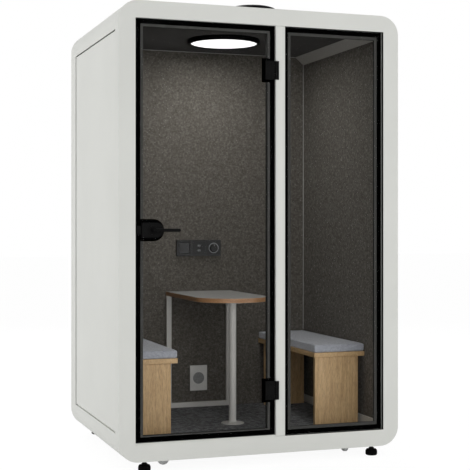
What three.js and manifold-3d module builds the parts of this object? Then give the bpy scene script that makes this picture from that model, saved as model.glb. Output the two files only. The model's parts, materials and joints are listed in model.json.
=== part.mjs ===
// Acoustic office pod for two people: a rounded steel body lined with felt, a glazed front with
// a hinged door, two benches, a wall table, a ceiling lamp, switches, a roof fan, casters and feet.
// Units are millimetres, +Z is up and the glazed front faces -Y.

import * as THREE from "three";
import { mergeVertices } from "three/addons/utils/BufferGeometryUtils.js";
import Module from "manifold-3d";

const wasm = await Module();
wasm.setup();

// Body
const WIDTH = 1500;
const DEPTH = 1200;
const BODY_HEIGHT = 2250;
const GROUND_GAP = 50;
const CORNER_RADIUS = 100;
const BAND_STRAIGHT = 36;
const FRAME_FACE = 85;
const FRONT_FRAME_DEPTH = 72;
const REAR_FRAME_DEPTH = 125;
const PANEL_THICKNESS = 60;
const BACK_PANEL_THICKNESS = 45;
const ROOF_THICKNESS = 50;
const DECK_THICKNESS = 67;
const GROOVE_WIDTH = 8;
const GROOVE_DEPTH = 10;
const REAR_GROOVE_WIDTH = 30;

// Lining
const FELT_THICKNESS = 15;
const CARPET_THICKNESS = 10;
const CEILING_THICKNESS = 15;
const COVE_WIDTH = 55;
const COVE_HEIGHT = 47;
const SKIRTING_HEIGHT = 45;
const SKIRTING_THICKNESS = 10;

// Glazing
const MULLION_WIDTH = 51;
const MULLION_OFFSET = 88.5;
const GLASS_THICKNESS = 10;
const DOOR_RECESS = 2;
const DOOR_GAP = 3;
const SILL_GAP = 10;
const WINDOW_RECESS = 18;
const WINDOW_GAP = 1;
const BORDER_WIDTH = 24;
const BORDER_THICKNESS = 0.6;
const STOP_WIDTH = 41;
const STOP_THICKNESS = 13;

// Door hinges
const HINGE_INSET = 224;
const HINGE_HEIGHT = 94;
const HINGE_LEAF_WIDTH = 50;
const HINGE_JAMB_WIDTH = 14;
const HINGE_PLATE = 9;
const HINGE_TAB_MARGIN = 14;
const HINGE_WEB_WIDTH = 24;
const HINGE_WEB_HEIGHT = 40;
const HINGE_KNUCKLES = 3;
const BARREL_RADIUS = 6;
const PIN_RADIUS = 3;

// Lock and levers
const LOCK_CENTRE = 1180;
const LOCK_BACKSET = 25;
const LOCK_LENGTH = 111;
const LOCK_HEIGHT = 73;
const LOCK_PLATE = 14;
const LOCK_TAB_MARGIN = 18;
const LOCK_TAB_END = 8;
const LOCK_WEB_HEIGHT = 44;
const LOCK_WEB_REACH = 9;
const SPINDLE_BACKSET = 82;
const SPINDLE_RADIUS = 4.5;
const ROSE_RADIUS = 23;
const ROSE_THICKNESS = 5;
const NECK_RADIUS = 10;
const NECK_LENGTH = 30;
const LEVER_LENGTH = 131;
const LEVER_HEIGHT = 16;
const LEVER_THICKNESS = 12;
const BOLT_HEIGHT = 18;
const BOLT_THICKNESS = 6;
const BOLT_LENGTH = 58;
const BOLT_THROW = 12;
const BOLT_END_ROOM = 1.2;

// Table
const TABLE_WIDTH = 400;
const TABLE_FRONT_GAP = 268;
const TABLE_HEIGHT = 688;
const TABLE_THICKNESS = 25;
const TABLE_LEG_INSET = 160;
const TABLE_LEG_RADIUS = 20;
const FLANGE_RADIUS = 62.5;
const FLANGE_THICKNESS = 8;
const WALL_BAR_WIDTH = 30;
const WALL_BAR_DEPTH = 20;

// Benches
const BENCH_WIDTH = 295;
const BENCH_FRONT_GAP = 183;
const SEAT_BOARD_TOP = 393;
const SEAT_BOARD_THICKNESS = 25;
const LEG_PANEL_WIDTH = 252;
const LEG_PANEL_THICKNESS = 25;
const LEG_PANEL_SETBACK = 11;
const NEAR_LEG_INSET = 15;
const FAR_LEG_INSET = 65;
const CUSHION_HEIGHT = 42;
const CUSHION_CROWN = 4;
const CUSHION_MARGIN = 3;
const CUSHION_EDGE = 6;
const CUSHION_WAIST = 1.5;
const CUSHION_DRAW = 2;
const CUSHION_CROWN_RINGS = [0.94, 0.7, 0.4];

// Switches, air inlet and lamp
const SWITCH_MODULE = 91;
const SWITCH_HEIGHT = 95;
const SWITCH_CENTRE = 943;
const SWITCH_DEPTH = 16;
const ROCKER_SIZE = 62;
const ROCKER_THICKNESS = 8;
const ROCKER_TILT = 4;
const ROCKER_PIN_RADIUS = 2;
const KNOB_RADIUS = 25;
const KNOB_HEIGHT = 15;
const KNOB_SHAFT_RADIUS = 3;
const KNOB_SHAFT_LENGTH = 8;
const KNOB_DRAFT = 1;
const KNOB_CHAMFER = 2;
const KNOB_POINTER_WIDTH = 2;
const KNOB_POINTER_START = 8;
const INLET_WIDTH = 105;
const INLET_HEIGHT = 149;
const INLET_CENTRE = 170;
const INLET_DEPTH = 8;
const INLET_GRILLE_RADIUS = 34;
const INLET_SLOT = 5;
const LAMP_RADIUS = 202;
const LAMP_HEIGHT = 25;
const LAMP_SETBACK = 50;
const DIFFUSER_RADIUS = 184;
const DIFFUSER_THICKNESS = 8;

// Roof fan
const VENT_FRONT = 184;
const VENT_RADIUS = 120;
const VENT_HEIGHT = 39;
const VENT_WALL = 5;
const VENT_SLOTS = 8;
const VENT_SHOULDER = 20;
// Points on the dome: the share of the radius, and the drop below the top
const VENT_DOME_OUTSIDE = [[0.86, 8], [0.56, 1.5]];
const VENT_DOME_INSIDE = [[0.55, 6], [0.85, 12]];
const DUCT_RADIUS = 85;
const MOTOR_RADIUS = 18;
const MOTOR_DROP = 4;
const SHAFT_RADIUS = 3;
const SHAFT_SOCKET = 12;
const ROTOR_RADIUS = 76;
const ROTOR_HUB_RADIUS = 22;
const ROTOR_HUB_HEIGHT = 26;
const ROTOR_BLADES = 5;
const BLADE_WIDTH = 30;
const BLADE_THICKNESS = 3;
const BLADE_PITCH = 32;
const BLADE_ROOT = 4;
const EXHAUST_SLOTS = 6;
const EXHAUST_SLOT_WIDTH = 8;
const EXHAUST_PITCH = 21;

// Feet and casters
const FOOT_INSET = 38;
const FOOT_RADIUS = 31;
const FOOT_PAD_HEIGHT = 32;
const FOOT_CHAMFER = 5;
const FOOT_SHOULDER = 10;
const FOOT_NUT_RADIUS = 13;
const FOOT_NUT_HEIGHT = 8;
const STUD_RADIUS = 8;
const STUD_LENGTH = 45;
const STUD_TRAVEL = 10;
const CASTER_SPACING = 104;
const WHEEL_RADIUS = 31;
const WHEEL_WIDTH = 24;
const TREAD_WIDTH = 14;
const TREAD_BEVEL = 4;
const WHEEL_LIFT = 6;
const WHEEL_ROOM = 11;
const AXLE_RADIUS = 4;
const CASTER_TRAIL = 16;
const WELL_MARGIN = 5;
const WELL_WALL = 6;
const CROWN_RADIUS = 20;
const CROWN_THICKNESS = 5;
const STEM_RADIUS = 5;
const STEM_LENGTH = 18;
const CHEEK_THICKNESS = 3.5;
const CHEEK_GAP = 1;
const CHEEK_RADIUS = 8;

// Clearances, how far cuts and joins reach past a face, and the steps of round shapes
const FIT = 0.3;
const RUNNING_GAP = 0.6;
const OVERLAP = 1;
const ARC_STEPS = 8;
const TURN_STEPS = 24;
const BORE_STEPS = 12;
const CUSHION_STEPS = 8;

// Planes and places that several pieces share
const halfWidth = WIDTH / 2;
const front = -DEPTH / 2;
const back = DEPTH / 2;
const bottom = GROUND_GAP;
const top = GROUND_GAP + BODY_HEIGHT;
const sideBand = CORNER_RADIUS + BAND_STRAIGHT;
const frontInner = front + FRONT_FRAME_DEPTH;
const rearInner = back - REAR_FRAME_DEPTH;
const panelInner = halfWidth - PANEL_THICKNESS;
const wallInner = panelInner - FELT_THICKNESS;
const backPanelInner = back - BACK_PANEL_THICKNESS;
const backInner = backPanelInner - FELT_THICKNESS;
const deckTop = bottom + DECK_THICKNESS;
const floorTop = deckTop + CARPET_THICKNESS;
const soffit = top - ROOF_THICKNESS;
const ceiling = soffit - CEILING_THICKNESS;

const openingRight = halfWidth - FRAME_FACE;
const openingLeft = -openingRight;
const openingLow = bottom + FRAME_FACE;
const openingHigh = top - FRAME_FACE;
const mullionLeft = MULLION_OFFSET - MULLION_WIDTH / 2;
const mullionRight = MULLION_OFFSET + MULLION_WIDTH / 2;
const doorLeft = openingLeft + DOOR_GAP;
const doorRight = mullionLeft - DOOR_GAP;
const doorLow = openingLow + SILL_GAP;
const doorHigh = openingHigh - DOOR_GAP;
const doorFront = front + DOOR_RECESS;
const doorBack = doorFront + GLASS_THICKNESS;
const doorBorderBack = doorBack + FIT + BORDER_THICKNESS;
const windowFront = front + WINDOW_RECESS;
const windowBack = windowFront + GLASS_THICKNESS;
const windowBorderBack = windowBack + FIT + BORDER_THICKNESS;
const stopFront = windowBorderBack + FIT;
const stopBack = stopFront + STOP_THICKNESS;

const pivotX = mullionLeft - DOOR_GAP / 2;
const pivotY = front - FIT - BARREL_RADIUS;
const hingeCentres = { top: doorHigh - HINGE_INSET, bottom: doorLow + HINGE_INSET };
const lockLeft = doorLeft + LOCK_BACKSET;
const lockRight = lockLeft + LOCK_LENGTH;
const lockFront = doorFront - FIT - LOCK_PLATE;
const lockInnerFront = doorBorderBack + FIT;
const lockInnerBack = lockInnerFront + LOCK_PLATE - FIT;
const lockInnerLeft = openingLeft + STOP_WIDTH + DOOR_GAP;
const webRight = doorLeft + SPINDLE_BACKSET + LOCK_WEB_REACH;
const boltY = (doorFront + doorBack) / 2;
const spindleX = doorLeft + SPINDLE_BACKSET;
const leverFront = lockFront - FIT - NECK_LENGTH - LEVER_THICKNESS;

const ventY = front + VENT_FRONT;
const footX = halfWidth - CORNER_RADIUS - FOOT_INSET;
const frontFootY = front + FRONT_FRAME_DEPTH / 2;
const rearFootY = back - REAR_FRAME_DEPTH / 2;
const boreTop = bottom + STUD_LENGTH + STUD_TRAVEL;
const wellRadius = CASTER_TRAIL + WHEEL_RADIUS + WELL_MARGIN;
const wheelCentre = WHEEL_LIFT + WHEEL_RADIUS;
const crownBottom = wheelCentre + WHEEL_RADIUS + WHEEL_ROOM;
const wellTop = crownBottom + CROWN_THICKNESS + FIT;
const casterX = footX - CASTER_SPACING;
const frontCasterY = frontInner + WELL_WALL + wellRadius;
const rearCasterY = rearInner - WELL_WALL - wellRadius;

// Geometry helpers

// A box between two corners.
function block(x0, x1, y0, y1, z0, z1) {
  const box = new THREE.BoxGeometry(x1 - x0, y1 - y0, z1 - z0);
  return box.translate((x0 + x1) / 2, (y0 + y1) / 2, (z0 + z1) / 2);
}

// A shape drawn in X and Z, carried along Y from y0 to y1.
function slab(shape, y0, y1) {
  const settings = { depth: y1 - y0, bevelEnabled: false, curveSegments: ARC_STEPS };
  return new THREE.ExtrudeGeometry(shape, settings).rotateX(Math.PI / 2).translate(0, y1, 0);
}

// A shape drawn in X and Y, carried up from z0 to z1.
function plate(shape, z0, z1) {
  const settings = { depth: z1 - z0, bevelEnabled: false, curveSegments: ARC_STEPS * 2 };
  return new THREE.ExtrudeGeometry(shape, settings).translate(0, 0, z0);
}

// A profile of [radius, height] pairs turned about Z: up the outside, from axis to axis
// or round to its start.
function turned(profile, steps = TURN_STEPS) {
  const points = profile.map(([radius, height]) => new THREE.Vector2(radius, height));
  return fromSolid(toSolid(new THREE.LatheGeometry(points, steps).rotateX(Math.PI / 2)));
}

// A rod along Z.
function rod(radius, z0, z1, steps = BORE_STEPS) {
  const cylinder = new THREE.CylinderGeometry(radius, radius, z1 - z0, steps).rotateX(Math.PI / 2);
  return cylinder.translate(0, 0, (z0 + z1) / 2);
}

// A rod along Y.
function rodY(radius, x, z, y0, y1, steps = BORE_STEPS) {
  const cylinder = new THREE.CylinderGeometry(radius, radius, y1 - y0, steps);
  return cylinder.translate(x, (y0 + y1) / 2, z);
}

// A closed geometry as a solid that can be joined and cut.
function toSolid(geometry) {
  const bare = new THREE.BufferGeometry();
  bare.setAttribute("position", geometry.getAttribute("position"));
  bare.setIndex(geometry.index);
  const merged = mergeVertices(bare, 1e-3);
  const corners = merged.index.array;
  const kept = [];
  for (let i = 0; i < corners.length; i += 3) {
    const [a, b, c] = [corners[i], corners[i + 1], corners[i + 2]];
    if (a !== b && b !== c && c !== a) {
      kept.push(a, b, c);
    }
  }
  const vertProperties = merged.getAttribute("position").array;
  const triVerts = Uint32Array.from(kept);
  return new wasm.Manifold(new wasm.Mesh({ numProp: 3, vertProperties, triVerts }));
}

// A solid back as a geometry.
function fromSolid(solid) {
  const mesh = solid.getMesh();
  const geometry = new THREE.BufferGeometry();
  geometry.setAttribute("position", new THREE.BufferAttribute(mesh.vertProperties, 3));
  geometry.setIndex(new THREE.BufferAttribute(mesh.triVerts, 1));
  geometry.computeVertexNormals();
  return geometry;
}

function join(...pieces) {
  return fromSolid(pieces.map(toSolid).reduce((whole, piece) => whole.add(piece)));
}

function cut(body, ...tools) {
  return fromSolid(tools.map(toSolid).reduce((rest, tool) => rest.subtract(tool), toSolid(body)));
}

function rectangle(x0, x1, z0, z1) {
  const corners = [[x0, z0], [x1, z0], [x1, z1], [x0, z1]];
  return new THREE.Shape(corners.map(([x, z]) => new THREE.Vector2(x, z)));
}

function polygon(corners) {
  return new THREE.Shape(corners.map(([x, y]) => new THREE.Vector2(x, y)));
}

// The pod's outline from the front: a rectangle with four round corners.
function bodyOutline() {
  const inset = halfWidth - CORNER_RADIUS;
  const shape = new THREE.Shape();
  shape.moveTo(-inset, bottom);
  shape.absarc(inset, bottom + CORNER_RADIUS, CORNER_RADIUS, -Math.PI / 2, 0);
  shape.absarc(inset, top - CORNER_RADIUS, CORNER_RADIUS, 0, Math.PI / 2);
  shape.absarc(-inset, top - CORNER_RADIUS, CORNER_RADIUS, Math.PI / 2, Math.PI);
  shape.absarc(-inset, bottom + CORNER_RADIUS, CORNER_RADIUS, Math.PI, Math.PI * 1.5);
  return shape;
}

// A rectangular ring: the outer edges, and how far in the hole starts on every side.
function ring(x0, x1, z0, z1, width) {
  const shape = rectangle(x0, x1, z0, z1);
  shape.holes.push(rectangle(x0 + width, x1 - width, z0 + width, z1 - width));
  return shape;
}

// A plate with one square end at x0 and one round end at x1, about the height z.
function roundEnded(x0, x1, z, height) {
  const radius = height / 2;
  const shape = new THREE.Shape();
  shape.moveTo(x0, z - radius);
  shape.lineTo(x1 - radius, z - radius);
  shape.absarc(x1 - radius, z, radius, -Math.PI / 2, Math.PI / 2);
  shape.lineTo(x0, z + radius);
  return shape;
}

// Finishes: colour, roughness, metalness
const FINISHES = {
  paint: [0xd6d7d2, 0.45, 0],
  darkTrim: [0x55565a, 0.5, 0],
  felt: [0x4f4c48, 0.95, 0],
  ceilingPanel: [0x3a3a3a, 0.7, 0],
  carpet: [0x3d3f42, 1, 0],
  glass: [0xcfd8da, 0.05, 0],
  enamel: [0x050505, 0.25, 0],
  rubber: [0x4a4a4c, 0.8, 0],
  blackMetal: [0x1d1d1f, 0.45, 0.6],
  steel: [0x9a9a98, 0.35, 0.9],
  greyMetal: [0x777672, 0.5, 0.4],
  laminate: [0x7c7e80, 0.5, 0],
  oak: [0xa98a66, 0.6, 0],
  fabric: [0x8a8e97, 0.95, 0],
  plastic: [0x202022, 0.5, 0],
  opal: [0xffffff, 0.4, 0],
  wheel: [0xb9bbbd, 0.5, 0],
};

function finish(name) {
  const [color, roughness, metalness] = FINISHES[name];
  return new THREE.MeshStandardMaterial({ color, roughness, metalness });
}

function add(group, name, geometry, finishName) {
  const mesh = new THREE.Mesh(geometry, finish(finishName));
  mesh.name = name;
  group.add(mesh);
  return mesh;
}

// The origin is under the middle of the whole footprint, so the body stands back by half of
// the lever's reach.
const pod = new THREE.Group();
pod.position.y = (front - leverFront) / 2;

// Feet and casters stand at the four corners; the angle is how far each caster has swivelled.
const STATIONS = [
  { corner: "front_left", side: -1, footY: frontFootY, casterY: frontCasterY, swivel: -90 },
  { corner: "front_right", side: 1, footY: frontFootY, casterY: frontCasterY, swivel: 0 },
  { corner: "rear_left", side: -1, footY: rearFootY, casterY: rearCasterY, swivel: 180 },
  { corner: "rear_right", side: 1, footY: rearFootY, casterY: rearCasterY, swivel: 90 },
];

// Steel body

function studBores(footY) {
  const bore = (x) => rod(STUD_RADIUS + FIT, bottom - OVERLAP, boreTop).translate(x, footY, 0);
  return [bore(-footX), bore(footX)];
}

function frontFrame() {
  const outline = bodyOutline();
  outline.holes.push(rectangle(openingLeft, openingRight, openingLow, openingHigh));
  const pocketDepth = BOLT_THROW + RUNNING_GAP;
  const pocketHalf = BOLT_HEIGHT / 2 + RUNNING_GAP;
  const pocketThick = BOLT_THICKNESS / 2 + RUNNING_GAP;
  const pocket = block(
    openingLeft - pocketDepth, openingLeft + OVERLAP, boltY - pocketThick, boltY + pocketThick,
    LOCK_CENTRE - pocketHalf, LOCK_CENTRE + pocketHalf,
  );
  return cut(slab(outline, front, frontInner), pocket, ...studBores(frontFootY));
}

function rearFrame() {
  const outline = bodyOutline();
  outline.holes.push(rectangle(-panelInner, panelInner, deckTop, soffit));
  return cut(slab(outline, rearInner, back), ...studBores(rearFootY));
}

// The bent roof: flat on top, round at both shoulders, with a short band down each side.
function roofShell() {
  const inset = halfWidth - CORNER_RADIUS;
  const shape = new THREE.Shape();
  shape.moveTo(halfWidth, top - sideBand);
  shape.lineTo(halfWidth, top - CORNER_RADIUS);
  shape.absarc(inset, top - CORNER_RADIUS, CORNER_RADIUS, 0, Math.PI / 2);
  shape.absarc(-inset, top - CORNER_RADIUS, CORNER_RADIUS, Math.PI / 2, Math.PI);
  shape.lineTo(-halfWidth, top - sideBand);
  shape.lineTo(-panelInner, top - sideBand);
  shape.lineTo(-panelInner, soffit);
  shape.lineTo(panelInner, soffit);
  shape.lineTo(panelInner, top - sideBand);
  const duct = rod(DUCT_RADIUS, soffit - OVERLAP, top + OVERLAP, TURN_STEPS).translate(0, ventY, 0);
  return cut(slab(shape, frontInner + FIT, rearInner - FIT), duct);
}

// The base deck: flat under the floor, round along both lower edges, with a well and a stem bore
// at each caster.
function baseShell() {
  const inset = halfWidth - CORNER_RADIUS;
  const shape = new THREE.Shape();
  shape.moveTo(-halfWidth, bottom + sideBand);
  shape.lineTo(-halfWidth, bottom + CORNER_RADIUS);
  shape.absarc(-inset, bottom + CORNER_RADIUS, CORNER_RADIUS, Math.PI, Math.PI * 1.5);
  shape.absarc(inset, bottom + CORNER_RADIUS, CORNER_RADIUS, -Math.PI / 2, 0);
  shape.lineTo(halfWidth, bottom + sideBand);
  shape.lineTo(panelInner, bottom + sideBand);
  shape.lineTo(panelInner, deckTop);
  shape.lineTo(-panelInner, deckTop);
  shape.lineTo(-panelInner, bottom + sideBand);
  const boreEnd = wellTop + STEM_LENGTH + OVERLAP;
  const wells = STATIONS.flatMap(({ side, casterY }) => [
    rod(wellRadius, bottom - OVERLAP, wellTop, TURN_STEPS).translate(side * casterX, casterY, 0),
    rod(STEM_RADIUS + FIT, wellTop - OVERLAP, boreEnd).translate(side * casterX, casterY, 0),
  ]);
  return cut(slab(shape, frontInner + FIT, rearInner - FIT), ...wells);
}

// The X range between two distances from the middle, on the left (-1) or right (1) side.
function sided(side, inner, outer) {
  return side < 0 ? [-outer, -inner] : [inner, outer];
}

// A flush side panel whose face stops short of its top, bottom and rear edges, which leaves
// the shadow grooves.
function sidePanel(side) {
  const y0 = frontInner + FIT;
  const y1 = rearInner - FIT;
  const z0 = bottom + sideBand + FIT;
  const z1 = top - sideBand - FIT;
  const groove = halfWidth - GROOVE_DEPTH;
  const core = block(...sided(side, panelInner, groove), y0, y1, z0, z1);
  const faceX = sided(side, groove - OVERLAP, halfWidth);
  const face = block(...faceX, y0, y1 - REAR_GROOVE_WIDTH, z0 + GROOVE_WIDTH, z1 - GROOVE_WIDTH);
  return join(core, face);
}

// The panel that closes the rear frame, with the same shadow groove round its outer face.
function backPanel() {
  const half = panelInner - FIT;
  const low = deckTop + FIT;
  const high = soffit - FIT;
  const step = back - GROOVE_DEPTH;
  const core = block(-half, half, backPanelInner, step, low, high);
  const faceHalf = half - GROOVE_WIDTH;
  const [faceLow, faceHigh] = [low + GROOVE_WIDTH, high - GROOVE_WIDTH];
  return join(core, block(-faceHalf, faceHalf, step - OVERLAP, back, faceLow, faceHigh));
}

add(pod, "front_frame", frontFrame(), "paint");
add(pod, "rear_frame", rearFrame(), "paint");
add(pod, "roof_shell", roofShell(), "paint");
add(pod, "base_shell", baseShell(), "paint");
add(pod, "left_side_panel", sidePanel(-1), "paint");
add(pod, "right_side_panel", sidePanel(1), "paint");
add(pod, "back_panel", backPanel(), "paint");

// Lining

function floorCarpet() {
  const half = panelInner - FIT;
  return block(-half, half, frontInner + FIT, backPanelInner - FIT, deckTop + FIT, floorTop);
}

function wallFelt(side) {
  const [x0, x1] = sided(side, wallInner, panelInner - FIT);
  return block(x0, x1, frontInner + FIT, backPanelInner - FIT, floorTop + FIT, soffit - FIT);
}

// The rear felt is cut out behind the air inlet.
function backFelt() {
  const half = wallInner - FIT;
  const sheet = block(-half, half, backInner, backPanelInner - FIT, floorTop + FIT, soffit - FIT);
  const inletZ = floorTop + INLET_CENTRE;
  return cut(sheet, rodY(INLET_GRILLE_RADIUS, 0, inletZ, backInner - OVERLAP, backPanelInner));
}

// The ceiling panel slopes down to the side walls as a cove, and is slotted under the roof fan.
function ceilingPanel() {
  const half = wallInner - FIT;
  const high = soffit - FIT;
  const section = polygon([
    [-half, high], [-half, ceiling - COVE_HEIGHT], [-half + COVE_WIDTH, ceiling],
    [half - COVE_WIDTH, ceiling], [half, ceiling - COVE_HEIGHT], [half, high],
  ]);
  const slots = Array.from({ length: EXHAUST_SLOTS }, (_, i) => {
    const offset = (i - (EXHAUST_SLOTS - 1) / 2) * EXHAUST_PITCH;
    const reach = Math.sqrt(DUCT_RADIUS ** 2 - offset ** 2) - EXHAUST_PITCH;
    const slotFront = ventY + offset - EXHAUST_SLOT_WIDTH / 2;
    const slotBack = slotFront + EXHAUST_SLOT_WIDTH;
    return block(-reach, reach, slotFront, slotBack, ceiling - OVERLAP, soffit);
  });
  return cut(slab(section, frontInner + FIT, backInner - FIT), ...slots);
}

function skirting(side) {
  const [x0, x1] = sided(side, wallInner - SKIRTING_THICKNESS, wallInner - FIT);
  return block(x0, x1, frontInner + FIT, backInner - FIT, floorTop + FIT, floorTop + SKIRTING_HEIGHT);
}

add(pod, "floor_carpet", floorCarpet(), "carpet");
add(pod, "left_wall_felt", wallFelt(-1), "felt");
add(pod, "right_wall_felt", wallFelt(1), "felt");
add(pod, "back_wall_felt", backFelt(), "felt");
add(pod, "ceiling_panel", ceilingPanel(), "ceilingPanel");
add(pod, "left_skirting", skirting(-1), "greyMetal");
add(pod, "right_skirting", skirting(1), "greyMetal");

// Glazed front

// One frame behind both openings: the door shuts against it and the window sits on it.
function glazingFrame() {
  const sheet = block(
    openingLeft + FIT, openingRight - FIT, stopFront, stopBack, openingLow + FIT, openingHigh - FIT,
  );
  const hole = (x0, x1) => block(
    x0 + STOP_WIDTH, x1 - STOP_WIDTH, stopFront - OVERLAP, stopBack + OVERLAP,
    openingLow + STOP_WIDTH, openingHigh - STOP_WIDTH,
  );
  return cut(sheet, hole(openingLeft, mullionLeft), hole(mullionRight, openingRight));
}

const windowEdges = [
  mullionRight + WINDOW_GAP, openingRight - WINDOW_GAP, openingLow + WINDOW_GAP, openingHigh - WINDOW_GAP,
];
const windowBand = ring(...windowEdges, BORDER_WIDTH);

add(pod, "mullion_post", block(
  mullionLeft, mullionRight, front, stopFront - FIT, openingLow + FIT, openingHigh - FIT,
), "paint");
add(pod, "glazing_frame", glazingFrame(), "darkTrim");
add(pod, "window_glass", slab(rectangle(...windowEdges), windowFront, windowBack), "glass");
add(pod, "window_border", slab(windowBand, windowBack + FIT, windowBorderBack), "enamel");
add(pod, "door_seal", slab(
  ring(openingLeft + FIT, mullionLeft - FIT, openingLow + FIT, openingHigh - FIT, STOP_WIDTH - FIT),
  doorBorderBack + FIT, stopFront - FIT,
), "rubber");

// Door

const webHalf = LOCK_WEB_HEIGHT / 2;

// The room that the lock's web needs to pass through a sheet, from x0 to past the spindle.
function lockNotch(x0, y0, y1) {
  const half = webHalf + FIT;
  return block(x0, webRight + FIT, y0 - OVERLAP, y1 + OVERLAP, LOCK_CENTRE - half, LOCK_CENTRE + half);
}

function hingeNotch(z) {
  const x0 = pivotX - BARREL_RADIUS - HINGE_WEB_WIDTH - FIT;
  const half = HINGE_WEB_HEIGHT / 2 + FIT;
  const [y0, y1] = [doorFront - OVERLAP, doorBack + OVERLAP];
  return block(x0, doorRight + OVERLAP, y0, y1, z - half, z + half);
}

function doorGlass() {
  const pane = slab(rectangle(doorLeft, doorRight, doorLow, doorHigh), doorFront, doorBack);
  const notches = Object.values(hingeCentres).map(hingeNotch);
  return cut(pane, lockNotch(doorLeft - OVERLAP, doorFront, doorBack), ...notches);
}

// The printed band round the door, which widens into a tab behind the lock and behind each hinge.
function doorBorder() {
  const y0 = doorBack + FIT;
  const band = slab(ring(doorLeft, doorRight, doorLow, doorHigh, BORDER_WIDTH), y0, doorBorderBack);
  const tabHeight = LOCK_HEIGHT + LOCK_TAB_MARGIN * 2;
  const lockTab = roundEnded(doorLeft + OVERLAP, lockRight + LOCK_TAB_END, LOCK_CENTRE, tabHeight);
  const hingeTab = (z) => {
    const half = HINGE_HEIGHT / 2 + HINGE_TAB_MARGIN;
    const x0 = pivotX - BARREL_RADIUS - HINGE_LEAF_WIDTH - HINGE_TAB_MARGIN;
    return slab(rectangle(x0, doorRight - OVERLAP, z - half, z + half), y0, doorBorderBack);
  };
  const tabs = Object.values(hingeCentres).map(hingeTab);
  const notch = lockNotch(lockInnerLeft - FIT, y0, doorBorderBack);
  return cut(join(band, slab(lockTab, y0, doorBorderBack), ...tabs), notch);
}

// The half of a hinge on the door: an outer plate, a web through the pane and the middle knuckle.
function hingeLeaf(z) {
  const half = HINGE_HEIGHT / 2;
  const knuckleHalf = half / HINGE_KNUCKLES - FIT;
  const edge = pivotX - BARREL_RADIUS - RUNNING_GAP;
  const plateBack = doorFront - FIT;
  const plateFront = plateBack - HINGE_PLATE;
  const outer = block(edge - HINGE_LEAF_WIDTH, edge, plateFront, plateBack, z - half, z + half);
  const webX = edge - HINGE_WEB_WIDTH + FIT;
  const webReach = HINGE_WEB_HEIGHT / 2;
  const web = block(webX, edge, plateBack - OVERLAP, doorBack, z - webReach, z + webReach);
  const [low, high] = [z - knuckleHalf, z + knuckleHalf];
  const bridge = block(edge - OVERLAP, pivotX, plateFront, pivotY + PIN_RADIUS, low, high);
  const knuckle = rod(BARREL_RADIUS, low, high).translate(pivotX, pivotY, 0);
  const bore = rod(PIN_RADIUS + FIT, z - half, z + half).translate(pivotX, pivotY, 0);
  return cut(join(outer, web, bridge, knuckle), bore);
}

// The half of a hinge on the post: a plate, the upper and lower knuckles and the pin.
function hingeJamb(z) {
  const half = HINGE_HEIGHT / 2;
  const knuckleStart = half / HINGE_KNUCKLES;
  const edge = pivotX + BARREL_RADIUS + RUNNING_GAP;
  const plateBack = front - FIT;
  const plateFront = plateBack - HINGE_PLATE;
  const outer = block(edge, mullionLeft + HINGE_JAMB_WIDTH, plateFront, plateBack, z - half, z + half);
  const knuckles = [[-half, -knuckleStart], [knuckleStart, half]].flatMap(([low, high]) => [
    rod(BARREL_RADIUS, z + low, z + high).translate(pivotX, pivotY, 0),
    block(pivotX, edge + OVERLAP, pivotY - PIN_RADIUS, pivotY + PIN_RADIUS, z + low, z + high),
  ]);
  const pin = rod(PIN_RADIUS, z - half, z + half).translate(pivotX, pivotY, 0);
  return join(outer, pin, ...knuckles);
}

// The lock: an outer and an inner case joined by a web through the pane, bored for the spindle
// and the bolt.
function lockCase() {
  const outer = slab(roundEnded(lockLeft, lockRight, LOCK_CENTRE, LOCK_HEIGHT), lockFront, doorFront - FIT);
  const inner = slab(
    roundEnded(lockInnerLeft, lockRight, LOCK_CENTRE, LOCK_HEIGHT), lockInnerFront, lockInnerBack,
  );
  const webLeft = doorLeft + DOOR_GAP;
  const webStart = doorFront - FIT - OVERLAP;
  const [webLow, webHigh] = [LOCK_CENTRE - webHalf, LOCK_CENTRE + webHalf];
  const frontWeb = block(webLeft, webRight, webStart, doorBack, webLow, webHigh);
  const throughWeb = block(lockInnerLeft, webRight, webStart, lockInnerFront + OVERLAP, webLow, webHigh);
  const spindleBore = rodY(
    SPINDLE_RADIUS + FIT, spindleX, LOCK_CENTRE, lockFront - OVERLAP, lockInnerBack + OVERLAP,
  );
  const boltHalf = BOLT_THICKNESS / 2 + FIT;
  const boltReach = BOLT_HEIGHT / 2 + FIT;
  const channel = block(
    webLeft - OVERLAP, doorLeft + BOLT_LENGTH + BOLT_END_ROOM, boltY - boltHalf, boltY + boltHalf,
    LOCK_CENTRE - boltReach, LOCK_CENTRE + boltReach,
  );
  return cut(join(outer, inner, frontWeb, throughWeb), spindleBore, channel);
}

// A lever on its rose and neck; direction is -1 outwards and 1 into the cabin, from the case's face.
function leverBody(face, direction) {
  const along = (a, b) => (direction < 0 ? [face - b, face - a] : [face + a, face + b]);
  const rose = rodY(ROSE_RADIUS, spindleX, LOCK_CENTRE, ...along(FIT, ROSE_THICKNESS), TURN_STEPS);
  const reach = FIT + NECK_LENGTH;
  const neckY = along(ROSE_THICKNESS - OVERLAP, reach + OVERLAP);
  const neck = rodY(NECK_RADIUS, spindleX, LOCK_CENTRE, ...neckY);
  const half = LEVER_HEIGHT / 2;
  const bar = new THREE.Shape();
  bar.absarc(spindleX, LOCK_CENTRE, half, Math.PI / 2, Math.PI * 1.5);
  bar.absarc(spindleX + LEVER_LENGTH - half, LOCK_CENTRE, half, -Math.PI / 2, Math.PI / 2);
  return join(rose, neck, slab(bar, ...along(reach, reach + LEVER_THICKNESS)));
}

const spindleEnd = lockInnerBack + NECK_LENGTH / 2;

function leverOutside() {
  const spindle = rodY(SPINDLE_RADIUS, spindleX, LOCK_CENTRE, lockFront - ROSE_THICKNESS, spindleEnd);
  return join(leverBody(lockFront, -1), spindle);
}

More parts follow.
